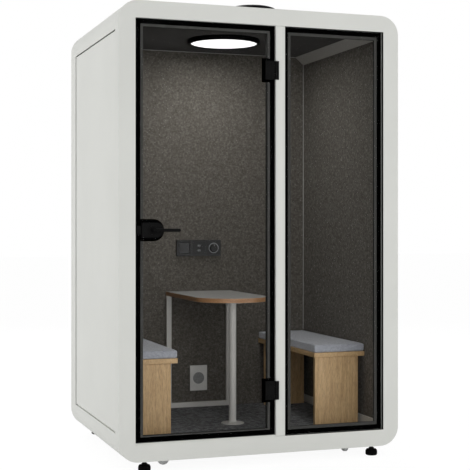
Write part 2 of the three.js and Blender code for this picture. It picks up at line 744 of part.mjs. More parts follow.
function leverInside() {
  const socket = rodY(
    SPINDLE_RADIUS + FIT, spindleX, LOCK_CENTRE, lockInnerBack - OVERLAP, spindleEnd + FIT,
  );
  return cut(leverBody(lockInnerBack, 1), socket);
}

function latchBolt() {
  const x0 = doorLeft + FIT;
  const half = BOLT_THICKNESS / 2;
  const [low, high] = [LOCK_CENTRE - BOLT_HEIGHT / 2, LOCK_CENTRE + BOLT_HEIGHT / 2];
  return block(x0, x0 + BOLT_LENGTH, boltY - half, boltY + half, low, high);
}

add(pod, "door_glass", doorGlass(), "glass");
add(pod, "door_border", doorBorder(), "enamel");
for (const [place, z] of Object.entries(hingeCentres)) {
  add(pod, `hinge_leaf_${place}`, hingeLeaf(z), "blackMetal");
  add(pod, `hinge_jamb_${place}`, hingeJamb(z), "blackMetal");
}
add(pod, "lock_case", lockCase(), "blackMetal");
add(pod, "lever_outside", leverOutside(), "blackMetal");
add(pod, "lever_inside", leverInside(), "blackMetal");
add(pod, "latch_bolt", latchBolt(), "steel");

// Table

const tableTop = floorTop + TABLE_HEIGHT;
const tableUnder = tableTop - TABLE_THICKNESS;
const tableFront = frontInner + TABLE_FRONT_GAP;

// A straight table against the rear wall with a half round end towards the door.
function tableBoard() {
  const half = TABLE_WIDTH / 2;
  const shape = new THREE.Shape();
  shape.moveTo(half, backInner - FIT);
  shape.lineTo(-half, backInner - FIT);
  shape.absarc(0, tableFront + half, half, Math.PI, Math.PI * 2);
  return plate(shape, tableUnder + FIT, tableTop);
}

// A tube with a flange on the floor and another under the board.
function tableLeg() {
  const low = floorTop + FIT;
  const collar = TABLE_LEG_RADIUS + FLANGE_THICKNESS;
  const upperFlange = tableUnder - FLANGE_THICKNESS;
  const profile = [
    [0, low], [FLANGE_RADIUS, low], [FLANGE_RADIUS, low + FLANGE_THICKNESS / 2],
    [collar, low + FLANGE_THICKNESS], [TABLE_LEG_RADIUS, low + FLANGE_THICKNESS * 2],
    [TABLE_LEG_RADIUS, upperFlange], [FLANGE_RADIUS, upperFlange],
    [FLANGE_RADIUS, tableUnder], [0, tableUnder],
  ];
  return turned(profile).translate(0, tableFront + TABLE_LEG_INSET, 0);
}

// A flat bar bent into a U that stands on the floor against the rear wall and carries the
// table's back edge.
function tableWallFrame() {
  const half = TABLE_WIDTH / 2;
  const inner = half - WALL_BAR_WIDTH;
  const low = floorTop + FIT;
  const shape = polygon([
    [-half, low], [half, low], [half, tableUnder], [inner, tableUnder],
    [inner, low + WALL_BAR_WIDTH], [-inner, low + WALL_BAR_WIDTH], [-inner, tableUnder], [-half, tableUnder],
  ]);
  return slab(shape, backInner - FIT - WALL_BAR_DEPTH, backInner - FIT);
}

add(pod, "table_top", tableBoard(), "laminate");
add(pod, "table_leg", tableLeg(), "greyMetal");
add(pod, "table_wall_frame", tableWallFrame(), "greyMetal");

// Benches

const benchLength = backInner - FIT - (frontInner + BENCH_FRONT_GAP);

// A padded seat: rings of one outline, drawn in between the corners, stacked from the flat
// underside to the crown.
function cushion(width, length) {
  const outline = (inset, scale) => {
    const a = width / 2 - inset;
    const b = length / 2 - inset;
    const sides = [
      [[-a, -b], [a, -b], [0, 1]], [[a, -b], [a, b], [-1, 0]],
      [[a, b], [-a, b], [0, -1]], [[-a, b], [-a, -b], [1, 0]],
    ];
    return sides.flatMap(([from, to, inward]) => Array.from({ length: CUSHION_STEPS }, (_, i) => {
      const t = i / CUSHION_STEPS;
      const draw = CUSHION_DRAW * Math.sin(Math.PI * t);
      return [0, 1].map((k) => scale * (from[k] + (to[k] - from[k]) * t + inward[k] * draw));
    }));
  };
  const high = CUSHION_HEIGHT;
  const walls = [
    [CUSHION_EDGE / 2, 0], [0, CUSHION_EDGE], [CUSHION_WAIST, high / 2],
    [0, high - CUSHION_EDGE], [CUSHION_EDGE / 2, high - CUSHION_EDGE / 4],
  ].map(([inset, z]) => ({ points: outline(inset, 1), z }));
  const crown = CUSHION_CROWN_RINGS.map((scale) => (
    { points: outline(CUSHION_EDGE / 2, scale), z: high + CUSHION_CROWN * (1 - scale ** 2) }
  ));
  const rings = [...walls, ...crown];
  const count = CUSHION_STEPS * 4;
  const positions = rings.flatMap(({ points, z }) => points.flatMap(([x, y]) => [x, y, z]));
  positions.push(0, 0, 0, 0, 0, high + CUSHION_CROWN);
  const under = rings.length * count;
  const peak = under + 1;
  const index = [];
  for (let i = 0; i < count; i += 1) {
    const next = (i + 1) % count;
    index.push(under, next, i);
    for (let k = 0; k < rings.length - 1; k += 1) {
      const low = k * count;
      const up = low + count;
      index.push(low + i, low + next, up + next, low + i, up + next, up + i);
    }
    const last = (rings.length - 1) * count;
    index.push(last + i, last + next, peak);
  }
  const geometry = new THREE.BufferGeometry();
  geometry.setAttribute("position", new THREE.Float32BufferAttribute(positions, 3));
  geometry.setIndex(index);
  geometry.computeVertexNormals();
  return geometry;
}

// Both benches are the same piece, so the legs stand off centre the same way on each.
function bench(name, x) {
  const group = new THREE.Group();
  group.position.set(x, frontInner + BENCH_FRONT_GAP, floorTop);
  const boardLow = SEAT_BOARD_TOP - SEAT_BOARD_THICKNESS;
  const legRight = LEG_PANEL_SETBACK + LEG_PANEL_WIDTH;
  const leg = (y) => block(LEG_PANEL_SETBACK, legRight, y, y + LEG_PANEL_THICKNESS, FIT, boardLow - FIT);
  const board = block(0, BENCH_WIDTH, 0, benchLength, boardLow, SEAT_BOARD_TOP);
  add(group, `${name}_bench_near_leg`, leg(NEAR_LEG_INSET), "oak");
  add(group, `${name}_bench_far_leg`, leg(benchLength - FAR_LEG_INSET - LEG_PANEL_THICKNESS), "oak");
  add(group, `${name}_bench_board`, board, "oak");
  const pad = cushion(BENCH_WIDTH - CUSHION_MARGIN * 2, benchLength - CUSHION_MARGIN * 2);
  const seat = add(group, `${name}_bench_cushion`, pad, "fabric");
  seat.position.set(BENCH_WIDTH / 2, benchLength / 2, SEAT_BOARD_TOP + FIT);
  pod.add(group);
}

bench("left", -wallInner + FIT);
bench("right", wallInner - FIT - BENCH_WIDTH);

// Switches, air inlet and lamp

const switchZ = floorTop + SWITCH_CENTRE;
const switchFace = backInner - FIT - SWITCH_DEPTH;
const rockerX = -SWITCH_MODULE;
const rockerY = switchFace + ROCKER_THICKNESS / 2;
const rockerReach = ROCKER_THICKNESS / 2;

// Three modules on one plate: a pocket for the rocker, a blank, and the bore of the dimmer's shaft.
function switchPlate() {
  const half = SWITCH_MODULE * 1.5;
  const body = block(
    -half, half, switchFace, backInner - FIT, switchZ - SWITCH_HEIGHT / 2, switchZ + SWITCH_HEIGHT / 2,
  );
  const pocketHalf = ROCKER_SIZE / 2 + RUNNING_GAP;
  const swing = Math.sin(THREE.MathUtils.degToRad(ROCKER_TILT)) * (ROCKER_SIZE / 2);
  const pocketBack = rockerY + rockerReach + swing + RUNNING_GAP;
  const pocket = block(
    rockerX - pocketHalf, rockerX + pocketHalf, switchFace - OVERLAP, pocketBack,
    switchZ - pocketHalf, switchZ + pocketHalf,
  );
  const pinHole = rockerPin(ROCKER_PIN_RADIUS + FIT, rockerReach + FIT);
  const boreBack = switchFace + KNOB_SHAFT_LENGTH + FIT;
  const bore = rodY(KNOB_SHAFT_RADIUS + FIT, SWITCH_MODULE, switchZ, switchFace - OVERLAP, boreBack);
  return cut(body, pocket, pinHole, bore);
}

// The rocker's pivot pin, which reaches past the paddle on both sides.
function rockerPin(radius, reach) {
  const length = ROCKER_SIZE + reach * 2;
  const cylinder = new THREE.CylinderGeometry(radius, radius, length, BORE_STEPS).rotateZ(Math.PI / 2);
  return cylinder.translate(rockerX, rockerY, switchZ);
}

// The paddle rests tilted, with its lower edge in.
function rocker() {
  const half = ROCKER_SIZE / 2;
  const tilt = THREE.MathUtils.degToRad(ROCKER_TILT);
  const paddle = block(-half, half, -rockerReach, rockerReach, -half, half).rotateX(tilt);
  return join(paddle.translate(rockerX, rockerY, switchZ), rockerPin(ROCKER_PIN_RADIUS, rockerReach));
}

// A round knob with a pointer groove, on a shaft into the plate.
function dimmerKnob() {
  const rim = KNOB_RADIUS - KNOB_DRAFT;
  const shoulder = KNOB_HEIGHT - KNOB_CHAMFER;
  const profile = [
    [0, -KNOB_SHAFT_LENGTH], [KNOB_SHAFT_RADIUS, -KNOB_SHAFT_LENGTH], [KNOB_SHAFT_RADIUS, FIT],
    [KNOB_RADIUS, FIT], [rim, shoulder], [rim - KNOB_CHAMFER, KNOB_HEIGHT], [0, KNOB_HEIGHT],
  ];
  const half = KNOB_POINTER_WIDTH / 2;
  const groove = block(-half, half, KNOB_POINTER_START, KNOB_RADIUS, shoulder, KNOB_HEIGHT + OVERLAP);
  return cut(turned(profile), groove).rotateX(Math.PI / 2).translate(SWITCH_MODULE, switchFace, switchZ);
}

// A plate with a round patch of slots.
function airInlet() {
  const z = floorTop + INLET_CENTRE;
  const y0 = backInner - FIT - INLET_DEPTH;
  const body = block(
    -INLET_WIDTH / 2, INLET_WIDTH / 2, y0, backInner - FIT, z - INLET_HEIGHT / 2, z + INLET_HEIGHT / 2,
  );
  const count = Math.floor(INLET_GRILLE_RADIUS / INLET_SLOT);
  const slots = Array.from({ length: count }, (_, i) => {
    const offset = (i - (count - 1) / 2) * INLET_SLOT * 2;
    const reach = Math.sqrt(INLET_GRILLE_RADIUS ** 2 - offset ** 2);
    const low = z + offset - INLET_SLOT / 2;
    return block(-reach, reach, y0 - OVERLAP, backInner, low, low + INLET_SLOT);
  });
  return cut(body, ...slots);
}

// A shallow round tray under the ceiling, open downwards.
function lampHousing() {
  const high = ceiling - FIT;
  const low = high - LAMP_HEIGHT;
  const tray = low + DIFFUSER_THICKNESS + FIT * 2;
  return turned([
    [0, tray], [DIFFUSER_RADIUS + FIT, tray], [DIFFUSER_RADIUS + FIT, low], [LAMP_RADIUS, low],
    [LAMP_RADIUS, high], [0, high],
  ], TURN_STEPS * 2).translate(0, LAMP_SETBACK, 0);
}

function lampDiffuser() {
  const low = ceiling - LAMP_HEIGHT;
  const high = low + DIFFUSER_THICKNESS;
  const bevel = DIFFUSER_THICKNESS / 2;
  return turned([
    [0, low], [DIFFUSER_RADIUS - bevel, low], [DIFFUSER_RADIUS, low + bevel],
    [DIFFUSER_RADIUS, high], [0, high],
  ], TURN_STEPS * 2).translate(0, LAMP_SETBACK, 0);
}

add(pod, "switch_plate", switchPlate(), "plastic");
add(pod, "rocker_switch", rocker(), "plastic");
add(pod, "dimmer_knob", dimmerKnob(), "plastic");
add(pod, "air_inlet", airInlet(), "plastic");
add(pod, "lamp_housing", lampHousing(), "blackMetal");
add(pod, "lamp_diffuser", lampDiffuser(), "opal");

// Roof fan

// A low domed cap with slots round its rim and the motor hanging inside.
function ventCap() {
  const inner = VENT_RADIUS - VENT_WALL;
  const bore = SHAFT_RADIUS + FIT;
  const boreEnd = SHAFT_SOCKET - MOTOR_DROP;
  const dome = (radius, points) => points.map(([share, drop]) => [radius * share, VENT_HEIGHT - drop]);
  const shell = turned([
    [0, boreEnd], [bore, boreEnd], [bore, -MOTOR_DROP],
    [MOTOR_RADIUS, -MOTOR_DROP], [MOTOR_RADIUS, VENT_HEIGHT - VENT_WALL],
    ...dome(inner, VENT_DOME_INSIDE), [inner, VENT_SHOULDER], [inner, FIT],
    [VENT_RADIUS, FIT], [VENT_RADIUS, VENT_SHOULDER + VENT_WALL],
    ...dome(VENT_RADIUS, VENT_DOME_OUTSIDE), [0, VENT_HEIGHT],
  ]);
  const slotHalf = (VENT_RADIUS * Math.PI) / VENT_SLOTS / 2;
  const slotTop = VENT_SHOULDER - OVERLAP;
  const slots = Array.from({ length: VENT_SLOTS }, (_, i) => {
    const [x0, x1] = [inner - VENT_WALL, VENT_RADIUS + OVERLAP];
    const slot = block(x0, x1, -slotHalf, slotHalf, VENT_WALL, slotTop);
    return slot.rotateZ((i * Math.PI * 2) / VENT_SLOTS);
  });
  return cut(shell, ...slots).translate(0, ventY, top);
}

// A hub on a short shaft with pitched blades, turning inside the roof's round duct.
function fanRotor() {
  const hubTop = -MOTOR_DROP - FIT;
  const hubLow = hubTop - ROTOR_HUB_HEIGHT;
  const hub = turned([
    [0, hubLow], [ROTOR_HUB_RADIUS, hubLow], [ROTOR_HUB_RADIUS, hubTop], [SHAFT_RADIUS, hubTop],
    [SHAFT_RADIUS, MOTOR_DROP], [0, MOTOR_DROP],
  ]);
  const blades = Array.from({ length: ROTOR_BLADES }, (_, i) => {
    const half = BLADE_WIDTH / 2;
    const thin = BLADE_THICKNESS / 2;
    const blade = block(ROTOR_HUB_RADIUS - BLADE_ROOT, ROTOR_RADIUS, -half, half, -thin, thin);
    blade.rotateX(THREE.MathUtils.degToRad(BLADE_PITCH)).translate(0, 0, (hubTop + hubLow) / 2);
    return blade.rotateZ((i * Math.PI * 2) / ROTOR_BLADES);
  });
  return join(hub, ...blades).translate(0, ventY, top);
}

add(pod, "vent_cap", ventCap(), "plastic");
add(pod, "fan_rotor", fanRotor(), "plastic");

// Feet and casters

// A round pad under a lock nut, on a stud that screws into the frame.
function levellingFoot() {
  const nutTop = FOOT_PAD_HEIGHT + FOOT_NUT_HEIGHT;
  const studTop = bottom + STUD_LENGTH;
  return turned([
    [0, 0], [FOOT_RADIUS - FOOT_CHAMFER, 0], [FOOT_RADIUS, FOOT_CHAMFER],
    [FOOT_RADIUS, FOOT_PAD_HEIGHT - FOOT_SHOULDER], [FOOT_RADIUS - FOOT_CHAMFER, FOOT_PAD_HEIGHT],
    [FOOT_NUT_RADIUS, FOOT_PAD_HEIGHT], [FOOT_NUT_RADIUS, nutTop],
    [STUD_RADIUS, nutTop], [STUD_RADIUS, studTop], [0, studTop],
  ], BORE_STEPS);
}

// A swivel fork: stem and crown, two cheeks and the axle between them; the wheel trails along +Y.
function casterFork() {
  const inner = WHEEL_WIDTH / 2 + CHEEK_GAP;
  const outer = inner + CHEEK_THICKNESS;
  const crown = rod(CROWN_RADIUS, crownBottom, crownBottom + CROWN_THICKNESS);
  const stem = rod(STEM_RADIUS, crownBottom, wellTop + STEM_LENGTH);
  const side = new THREE.Shape();
  side.moveTo(-CHEEK_RADIUS, crownBottom + OVERLAP);
  side.lineTo(CASTER_TRAIL - CHEEK_RADIUS, wheelCentre);
  side.absarc(CASTER_TRAIL, wheelCentre, CHEEK_RADIUS, Math.PI, Math.PI * 2);
  side.lineTo(CHEEK_RADIUS, crownBottom + OVERLAP);
  const cheek = (y0) => slab(side, y0, y0 + CHEEK_THICKNESS);
  const axle = rodY(AXLE_RADIUS, CASTER_TRAIL, wheelCentre, -outer, outer);
  return join(crown, stem, cheek(inner), cheek(-outer), axle).rotateZ(Math.PI / 2);
}

function casterWheel() {
  const half = WHEEL_WIDTH / 2;
  const tread = TREAD_WIDTH / 2;
  const bore = AXLE_RADIUS + FIT;
  const shoulder = WHEEL_RADIUS - TREAD_BEVEL;
  const wheel = turned([
    [bore, -half], [shoulder, -half], [WHEEL_RADIUS, -tread], [WHEEL_RADIUS, tread], [shoulder, half],
    [bore, half], [bore, -half],
  ]);
  return wheel.rotateY(Math.PI / 2).translate(0, CASTER_TRAIL, wheelCentre);
}

for (const { corner, side, footY, casterY, swivel } of STATIONS) {
  const foot = add(pod, `${corner}_foot`, levellingFoot(), "plastic");
  foot.position.set(side * footX, footY, 0);
  const caster = new THREE.Group();
  caster.position.set(side * casterX, casterY, 0);
  caster.rotation.z = THREE.MathUtils.degToRad(swivel);
  add(caster, `${corner}_caster_fork`, casterFork(), "steel");
  add(caster, `${corner}_caster_wheel`, casterWheel(), "wheel");
  pod.add(caster);
}

export default pod;
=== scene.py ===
# %% [markdown]
# # An acoustic office pod, dressed
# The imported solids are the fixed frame: they give every place and size, in metres, with +Z up
# and the glazed front towards -Y. This lesson rounds their edges, adds the small pieces that a
# maker fits to them, and gives each piece the finish of the real material.

import json

import bmesh
import bpy
import numpy as np
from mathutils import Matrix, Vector


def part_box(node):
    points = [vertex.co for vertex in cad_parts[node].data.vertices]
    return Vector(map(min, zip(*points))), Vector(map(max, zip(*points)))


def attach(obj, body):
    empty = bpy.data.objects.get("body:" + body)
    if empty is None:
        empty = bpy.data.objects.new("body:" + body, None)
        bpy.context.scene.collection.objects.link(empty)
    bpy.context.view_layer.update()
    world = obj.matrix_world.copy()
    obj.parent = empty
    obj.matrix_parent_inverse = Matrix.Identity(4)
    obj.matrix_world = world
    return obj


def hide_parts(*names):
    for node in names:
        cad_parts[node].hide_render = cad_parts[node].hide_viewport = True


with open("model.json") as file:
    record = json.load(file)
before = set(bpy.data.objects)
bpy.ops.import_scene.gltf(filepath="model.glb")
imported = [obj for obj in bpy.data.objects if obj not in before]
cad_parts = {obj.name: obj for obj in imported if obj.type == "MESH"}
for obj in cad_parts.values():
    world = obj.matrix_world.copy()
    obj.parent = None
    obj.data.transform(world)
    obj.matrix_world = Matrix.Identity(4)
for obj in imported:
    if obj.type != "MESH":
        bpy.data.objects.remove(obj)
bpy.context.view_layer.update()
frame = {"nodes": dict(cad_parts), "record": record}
record = frame["record"]
body_of = {n: body for body, nodes in record["behaviour"]["bodies"].items() for n in nodes}
scene = bpy.context.scene
scene.view_settings.view_transform = "Standard"
MM = 0.001
CORNERS = ("front_left", "front_right", "rear_left", "rear_right")

# %% [markdown]
# ## Colours and nodes
# Colours are written as sRGB hex values, as a paint card gives them, and turned to the linear
# values that a shader needs. One function adds any node: an input gets a value, or a link from
# another node, and the new node can be linked on to a socket.

# %% Colours and nodes


def linear(code):
    """An sRGB hex colour as linear RGBA: each channel through the sRGB curve."""
    channels = np.array([int(code[i : i + 2], 16) for i in (1, 3, 5)]) / 255
    curve = np.where(channels <= 0.04045, channels / 12.92, ((channels + 0.055) / 1.055) ** 2.4)
    return (*curve.tolist(), 1.0)


def per_metre(size_mm):
    """A texture scale that repeats once in that many millimetres."""
    return 1 / (size_mm * MM)


def add(tree, kind, inputs=None, stops=(), to=None, **settings):
    """Adds a node. An input is a value, node or socket; stops are a ramp's places and colours."""
    made = tree.nodes.new("ShaderNode" + kind)
    for name, value in settings.items():
        setattr(made, name, value)
    for index, (place, code) in enumerate(stops):
        elements = made.color_ramp.elements
        stop = elements[index] if index < 2 else elements.new(place)
        stop.position, stop.color = place, linear(code)
    for name, value in (inputs or {}).items():
        socket = next(s for s in made.inputs if s.enabled and s.name == name)
        if isinstance(value, bpy.types.Node):
            value = next(s for s in value.outputs if s.enabled)
        if isinstance(value, bpy.types.NodeSocket):
            tree.links.new(value, socket)
        else:
            socket.default_value = value
    if to is not None:
        tree.links.new(next(s for s in made.outputs if s.enabled), to)
    return made


print("one metre holds", per_metre(5), "loops of 5 mm")

# %% [markdown]
# Three more helpers build on it. Every material starts from Blender's own shader. Where one solid
# has two finishes, or a side painted lighter or darker for the light on it, the direction of its
# surface picks the colour, which needs no second mesh. A lamp or a floor whose look and light
# differ tells apart the rays that show it.

# %% Material helpers


def material(name, **values):
    """A new material: the material, its node tree, its shader and its object coordinates."""
    made = bpy.data.materials.new(name)
    made.use_nodes = True
    tree = made.node_tree
    shader = tree.nodes["Principled BSDF"]
    for socket, value in values.items():
        shader.inputs[socket.replace("_", " ")].default_value = value
    return made, tree, shader, add(tree, "TexCoord").outputs["Object"]


def by_normal(tree, axis, across=None, facing=None):
    """Two base colours by the surface's normal: facing where it lies along the axis, else across.

    One that isn't given is the colour that the shader already has.
    """
    colour = tree.nodes["Principled BSDF"].inputs["Base Color"]
    kept = colour.links[0].from_socket if colour.links else None
    normal = add(tree, "SeparateXYZ", {"Vector": add(tree, "NewGeometry").outputs["Normal"]})
    size = add(tree, "Math", {"Value": normal.outputs[axis]}, operation="ABSOLUTE")
    share = add(tree, "Math", {"Value": size}, operation="ROUND")
    choice = {"Factor": share, "A": across or kept, "B": facing or kept}
    add(tree, "Mix", choice, to=colour, data_type="RGBA")


def shown_as(tree, lighting, shown):
    """One value for rays that show a surface, also in or through glass, and one for the rest."""
    rays = add(tree, "LightPath")
    value = lighting
    for ray in ("Is Camera Ray", "Is Glossy Ray", "Is Transmission Ray"):
        span = {"Value": rays.outputs[ray], "To Min": value, "To Max": shown}
        value = add(tree, "MapRange", span)
    return value


print("material helpers ready")

# %% [markdown]
# ## Powder coats
# The shell is steel with a baked powder coat. Seen close, the powder melts into a fine orange
# peel, so the sheen breaks up a little. The coats differ in colour: off-white for the shell,
# pale grey for the furniture legs, black for the fittings and dark grey behind the glass.

# %% Powder coats
SHADE_DRIFT_MM = 420
PEEL_DEPTH = 0.06 * MM


def powder_coat(name, code, shade, roughness, peel_mm=2.0, specular=0.3):
    """Satin paint: large soft shifts of shade, and a bump of noise at the peel's size."""
    made, tree, shader, place = material(name, Specular_IOR_Level=specular)
    slow = per_metre(SHADE_DRIFT_MM)
    drift = add(tree, "TexNoise", {"Vector": place, "Scale": slow, "Detail": 3.0})
    add(tree, "ValToRGB", {"Fac": drift}, [(0.3, shade), (0.7, code)], shader.inputs["Base Color"])
    peel = add(tree, "TexNoise", {"Vector": place, "Scale": per_metre(peel_mm), "Detail": 1.0})
    span = {"Value": peel, "To Min": roughness - 0.06, "To Max": roughness + 0.08}
    add(tree, "MapRange", span, to=shader.inputs["Roughness"])
    raised = {"Height": peel, "Distance": PEEL_DEPTH, "Strength": 0.35}
    add(tree, "Bump", raised, to=shader.inputs["Normal"])
    return made


shell_paint = powder_coat("off_white_powder_coat", "#DDDED9", "#D9DAD5", 0.5)
leg_paint = powder_coat("pale_grey_powder_coat", "#D2D0CB", "#CAC8C3", 0.4)
black_paint = powder_coat("black_powder_coat", "#040404", "#030303", 0.48, 1.4, 0.06)
trim_paint = powder_coat("dark_grey_powder_coat", "#40403E", "#3A3A38", 0.6, 2.0, 0.15)
bead_paint = powder_coat("light_grey_powder_coat", "#A9A8A5", "#9F9E9B", 0.45)
print("powder coats:", shell_paint.name, leg_paint.name, black_paint.name, trim_paint.name)

# %% [markdown]
# ## Felt and ceiling board
# The walls are pressed polyester felt: short fibres of several greys, needled into a mat. The
# fibres show as streaks in all directions, so two stretched noises cross each other; modelled
# hairs would show no more from across a room. The ceiling is a darker board, and the faces of its
# slanted sides that turn sideways get a pale colour: painted light, for the lamp light on them.

# %% Felt and ceiling board
FIBRE_STRETCH = 7
MOTTLE_MM = 11
FIBRE_DEPTH = 1.2 * MM


def fibre_mat(name, dark, middle, light, fibre_mm):
    """Felt: half of two crossed, stretched noises for the fibres, over a slower mottle."""
    made, tree, shader, place = material(name, Roughness=1.0, Specular_IOR_Level=0.05,
                                         Sheen_Weight=0.05)
    streaks = []
    for turn, stretch in (((0.5, 0.3, 0.4), (1, 1, FIBRE_STRETCH)),
                          ((-0.6, 0.2, -0.3), (FIBRE_STRETCH, 1, 1))):
        spot = add(tree, "Mapping", {"Vector": place, "Rotation": turn, "Scale": stretch})
        coarse = per_metre(fibre_mm * FIBRE_STRETCH)
        streaks.append(add(tree, "TexNoise", {"Vector": spot, "Scale": coarse, "Detail": 3.0}))
    fibres = add(tree, "Mix", {"Factor": 0.5, "A": streaks[0], "B": streaks[1]})
    mottle = add(tree, "TexNoise", {"Vector": place, "Scale": per_metre(MOTTLE_MM), "Detail": 4.0,
                                    "Roughness": 0.7})
    blend = add(tree, "Mix", {"Factor": 0.45, "A": fibres, "B": mottle})
    shades = [(0.36, dark), (0.64, light), (0.5, middle)]
    add(tree, "ValToRGB", {"Fac": blend}, shades, shader.inputs["Base Color"])
    raised = {"Height": fibres, "Distance": FIBRE_DEPTH, "Strength": 0.5}
    add(tree, "Bump", raised, to=shader.inputs["Normal"])
    return made


wall_felt = fibre_mat("grey_pressed_felt", "#45413C", "#5D5953", "#7F7B74", 2.0)
ceiling_board = fibre_mat("dark_fibre_board", "#353331", "#3F3D3B", "#494744", 1.8)
# Painted light: faces that turn sideways, the ceiling's slanted sides, get a pale colour.
by_normal(ceiling_board.node_tree, "X", facing=linear("#A5A29C"))
print("felt and board:", wall_felt.name, ceiling_board.name)

# %% [markdown]
# ## Carpet
# The floor has a loop pile: small domes of mixed grey yarn with dark gaps between them. Cells of
# 5 mm give the domes and the gaps, and a slower noise gives the yarn its greys. Real loops would
# take far too many faces for a floor that is seen through glass.

# %% Carpet
LOOP_MM, YARN_MM = 5, 24
LOOP_DEPTH = 2.5 * MM
carpet, tree, shader, place = material("charcoal_loop_carpet", Roughness=1.0, Sheen_Weight=0.12,
                                       Specular_IOR_Level=0.1)
loops = add(tree, "TexVoronoi", {"Vector": place, "Scale": per_metre(LOOP_MM)})
yarn = add(tree, "TexNoise", {"Vector": place, "Scale": per_metre(YARN_MM), "Detail": 4.0})
shade = add(tree, "ValToRGB", {"Fac": yarn}, [(0.35, "#4B4C4D"), (0.65, "#A0A1A2")])
dip = add(tree, "ValToRGB", {"Fac": loops}, [(0.1, "#FFFFFF"), (0.75, "#7A7A7A")])
woven = {"Factor": 1.0, "A": shade, "B": dip}
add(tree, "Mix", woven, to=shader.inputs["Base Color"], data_type="RGBA", blend_type="MULTIPLY")
raised = {"Height": loops, "Distance": LOOP_DEPTH, "Strength": 0.8}
add(tree, "Bump", raised, to=shader.inputs["Normal"], invert=True)
print("carpet:", carpet.name)

# %% [markdown]
# ## Oak and laminate
# The benches are oak veneer on board. The growth rings run the long way, so noise is stretched
# along the grain; fine dark pores lie in the same direction. The table is a grey laminate with a
# wooden edge: the shader tells the edge from the face by the surface's own normal.

# %% Oak and laminate
ALONG_GRAIN = 0.06
OAK_BAND_MM, EDGE_BAND_MM, SPECK_MM = 11, 10, 3
PORES_PER_BAND = 7
PORE_DEPTH = 0.15 * MM


def wood_grain(tree, place, along, band_mm, shades):
    """Grain: noise stretched along one axis picks the shade, and finer noise the pores."""
    spread = [1.0, 1.0, 1.0]
    spread[along] = ALONG_GRAIN
    run = add(tree, "Mapping", {"Vector": place, "Scale": spread})
    bands = add(tree, "TexNoise", {"Vector": run, "Scale": per_metre(band_mm), "Detail": 5.0,
                                   "Roughness": 0.6, "Distortion": 0.6})
    fine = per_metre(band_mm / PORES_PER_BAND)
    pores = add(tree, "TexNoise", {"Vector": run, "Scale": fine, "Detail": 2.0})
    tone = add(tree, "ValToRGB", {"Fac": bands}, shades)
    fleck = add(tree, "ValToRGB", {"Fac": pores}, [(0.36, "#C4C0BA"), (0.5, "#FFFFFF")])
    mixed = {"Factor": 0.7, "A": tone, "B": fleck}
    grain = add(tree, "Mix", mixed, data_type="RGBA", blend_type="MULTIPLY")
    return grain, pores


OAK_SHADES = [(0.3, "#B79568"), (0.7, "#D4B488"), (0.5, "#C6A577")]
oaks = {}
for axis, along in (("upright", 2), ("lengthwise", 1)):
    oak, tree, shader, place = material(f"oak_veneer_{axis}", Roughness=0.48)
    grain, pores = wood_grain(tree, place, along, OAK_BAND_MM, OAK_SHADES)
    tree.links.new(next(s for s in grain.outputs if s.enabled), shader.inputs["Base Color"])
    raised = {"Height": pores, "Distance": PORE_DEPTH, "Strength": 0.4}
    add(tree, "Bump", raised, to=shader.inputs["Normal"])
    oaks[axis] = oak

laminate, tree, shader, place = material("grey_laminate_with_wood_edge", Roughness=0.38)
EDGE_SHADES = [(0.3, "#A67A52"), (0.7, "#BE926A"), (0.5, "#B2865E")]
edge, _ = wood_grain(tree, place, 0, EDGE_BAND_MM, EDGE_SHADES)
speck = add(tree, "TexNoise", {"Vector": place, "Scale": per_metre(SPECK_MM), "Detail": 3.0})
face = add(tree, "ValToRGB", {"Fac": speck}, [(0.35, "#A8A7A4"), (0.65, "#B2B1AE")])
by_normal(tree, "Z", edge, face)
print("woods:", [oak.name for oak in oaks.values()], laminate.name)

# %% [markdown]
# ## Seat fabric
# The cushions are covered in a plain weave of blue-grey yarn. Threads of 1 mm are too fine to
# show from across a room, so they are drawn 2.5 mm apart: two waves at right angles, one over
# the other, with slubs where the yarn is thicker. The waves are turned out of the seat's planes,
# so that both threads cross on its top and sides. At scale 1 a wave repeats every 2 pi / 20.

# %% Seat fabric
THREAD_MM, SLUB_MM = 2.5, 9
THREAD_DEPTH = 0.6 * MM
WAVE_UNIT = 2 * np.pi / 20
THREAD_TURN = (0.6, 0.6, 0)
seat_fabric, tree, shader, place = material("blue_grey_plain_weave", Roughness=0.95,
                                            Sheen_Weight=0.4, Specular_IOR_Level=0.2)
laid = add(tree, "Mapping", {"Vector": place, "Rotation": THREAD_TURN})
threads = []
for direction in ("X", "Y"):
    wave = {"Vector": laid, "Scale": per_metre(THREAD_MM) * WAVE_UNIT, "Distortion": 0.6,
            "Detail": 1.0, "Detail Scale": 2.0}
    threads.append(add(tree, "TexWave", wave, bands_direction=direction))
weave = add(tree, "Math", {"Value": threads[0]}, operation="MULTIPLY")
tree.links.new(threads[1].outputs["Fac"], weave.inputs[1])
slubs = add(tree, "TexNoise", {"Vector": place, "Scale": per_metre(SLUB_MM), "Detail": 4.0})
tone = add(tree, "ValToRGB", {"Fac": slubs}, [(0.35, "#BBBFC7"), (0.65, "#D4D7DD")])
gap = add(tree, "ValToRGB", {"Fac": weave}, [(0.0, "#B4B4B8"), (0.6, "#FFFFFF")])
cloth = {"Factor": 1.0, "A": tone, "B": gap}
add(tree, "Mix", cloth, to=shader.inputs["Base Color"], data_type="RGBA", blend_type="MULTIPLY")
raised = {"Height": weave, "Distance": THREAD_DEPTH, "Strength": 0.5}
add(tree, "Bump", raised, to=shader.inputs["Normal"])
print("seat fabric:", seat_fabric.name)

# %% [markdown]
# ## Glass
# Toughened glass lets light through and reflects more at a slant, so its opacity is a part of the
# Fresnel share. A flat pane hardly bends the view, so this does instead of refraction and lets the
# light into the cabin. Faint smears change the gloss.

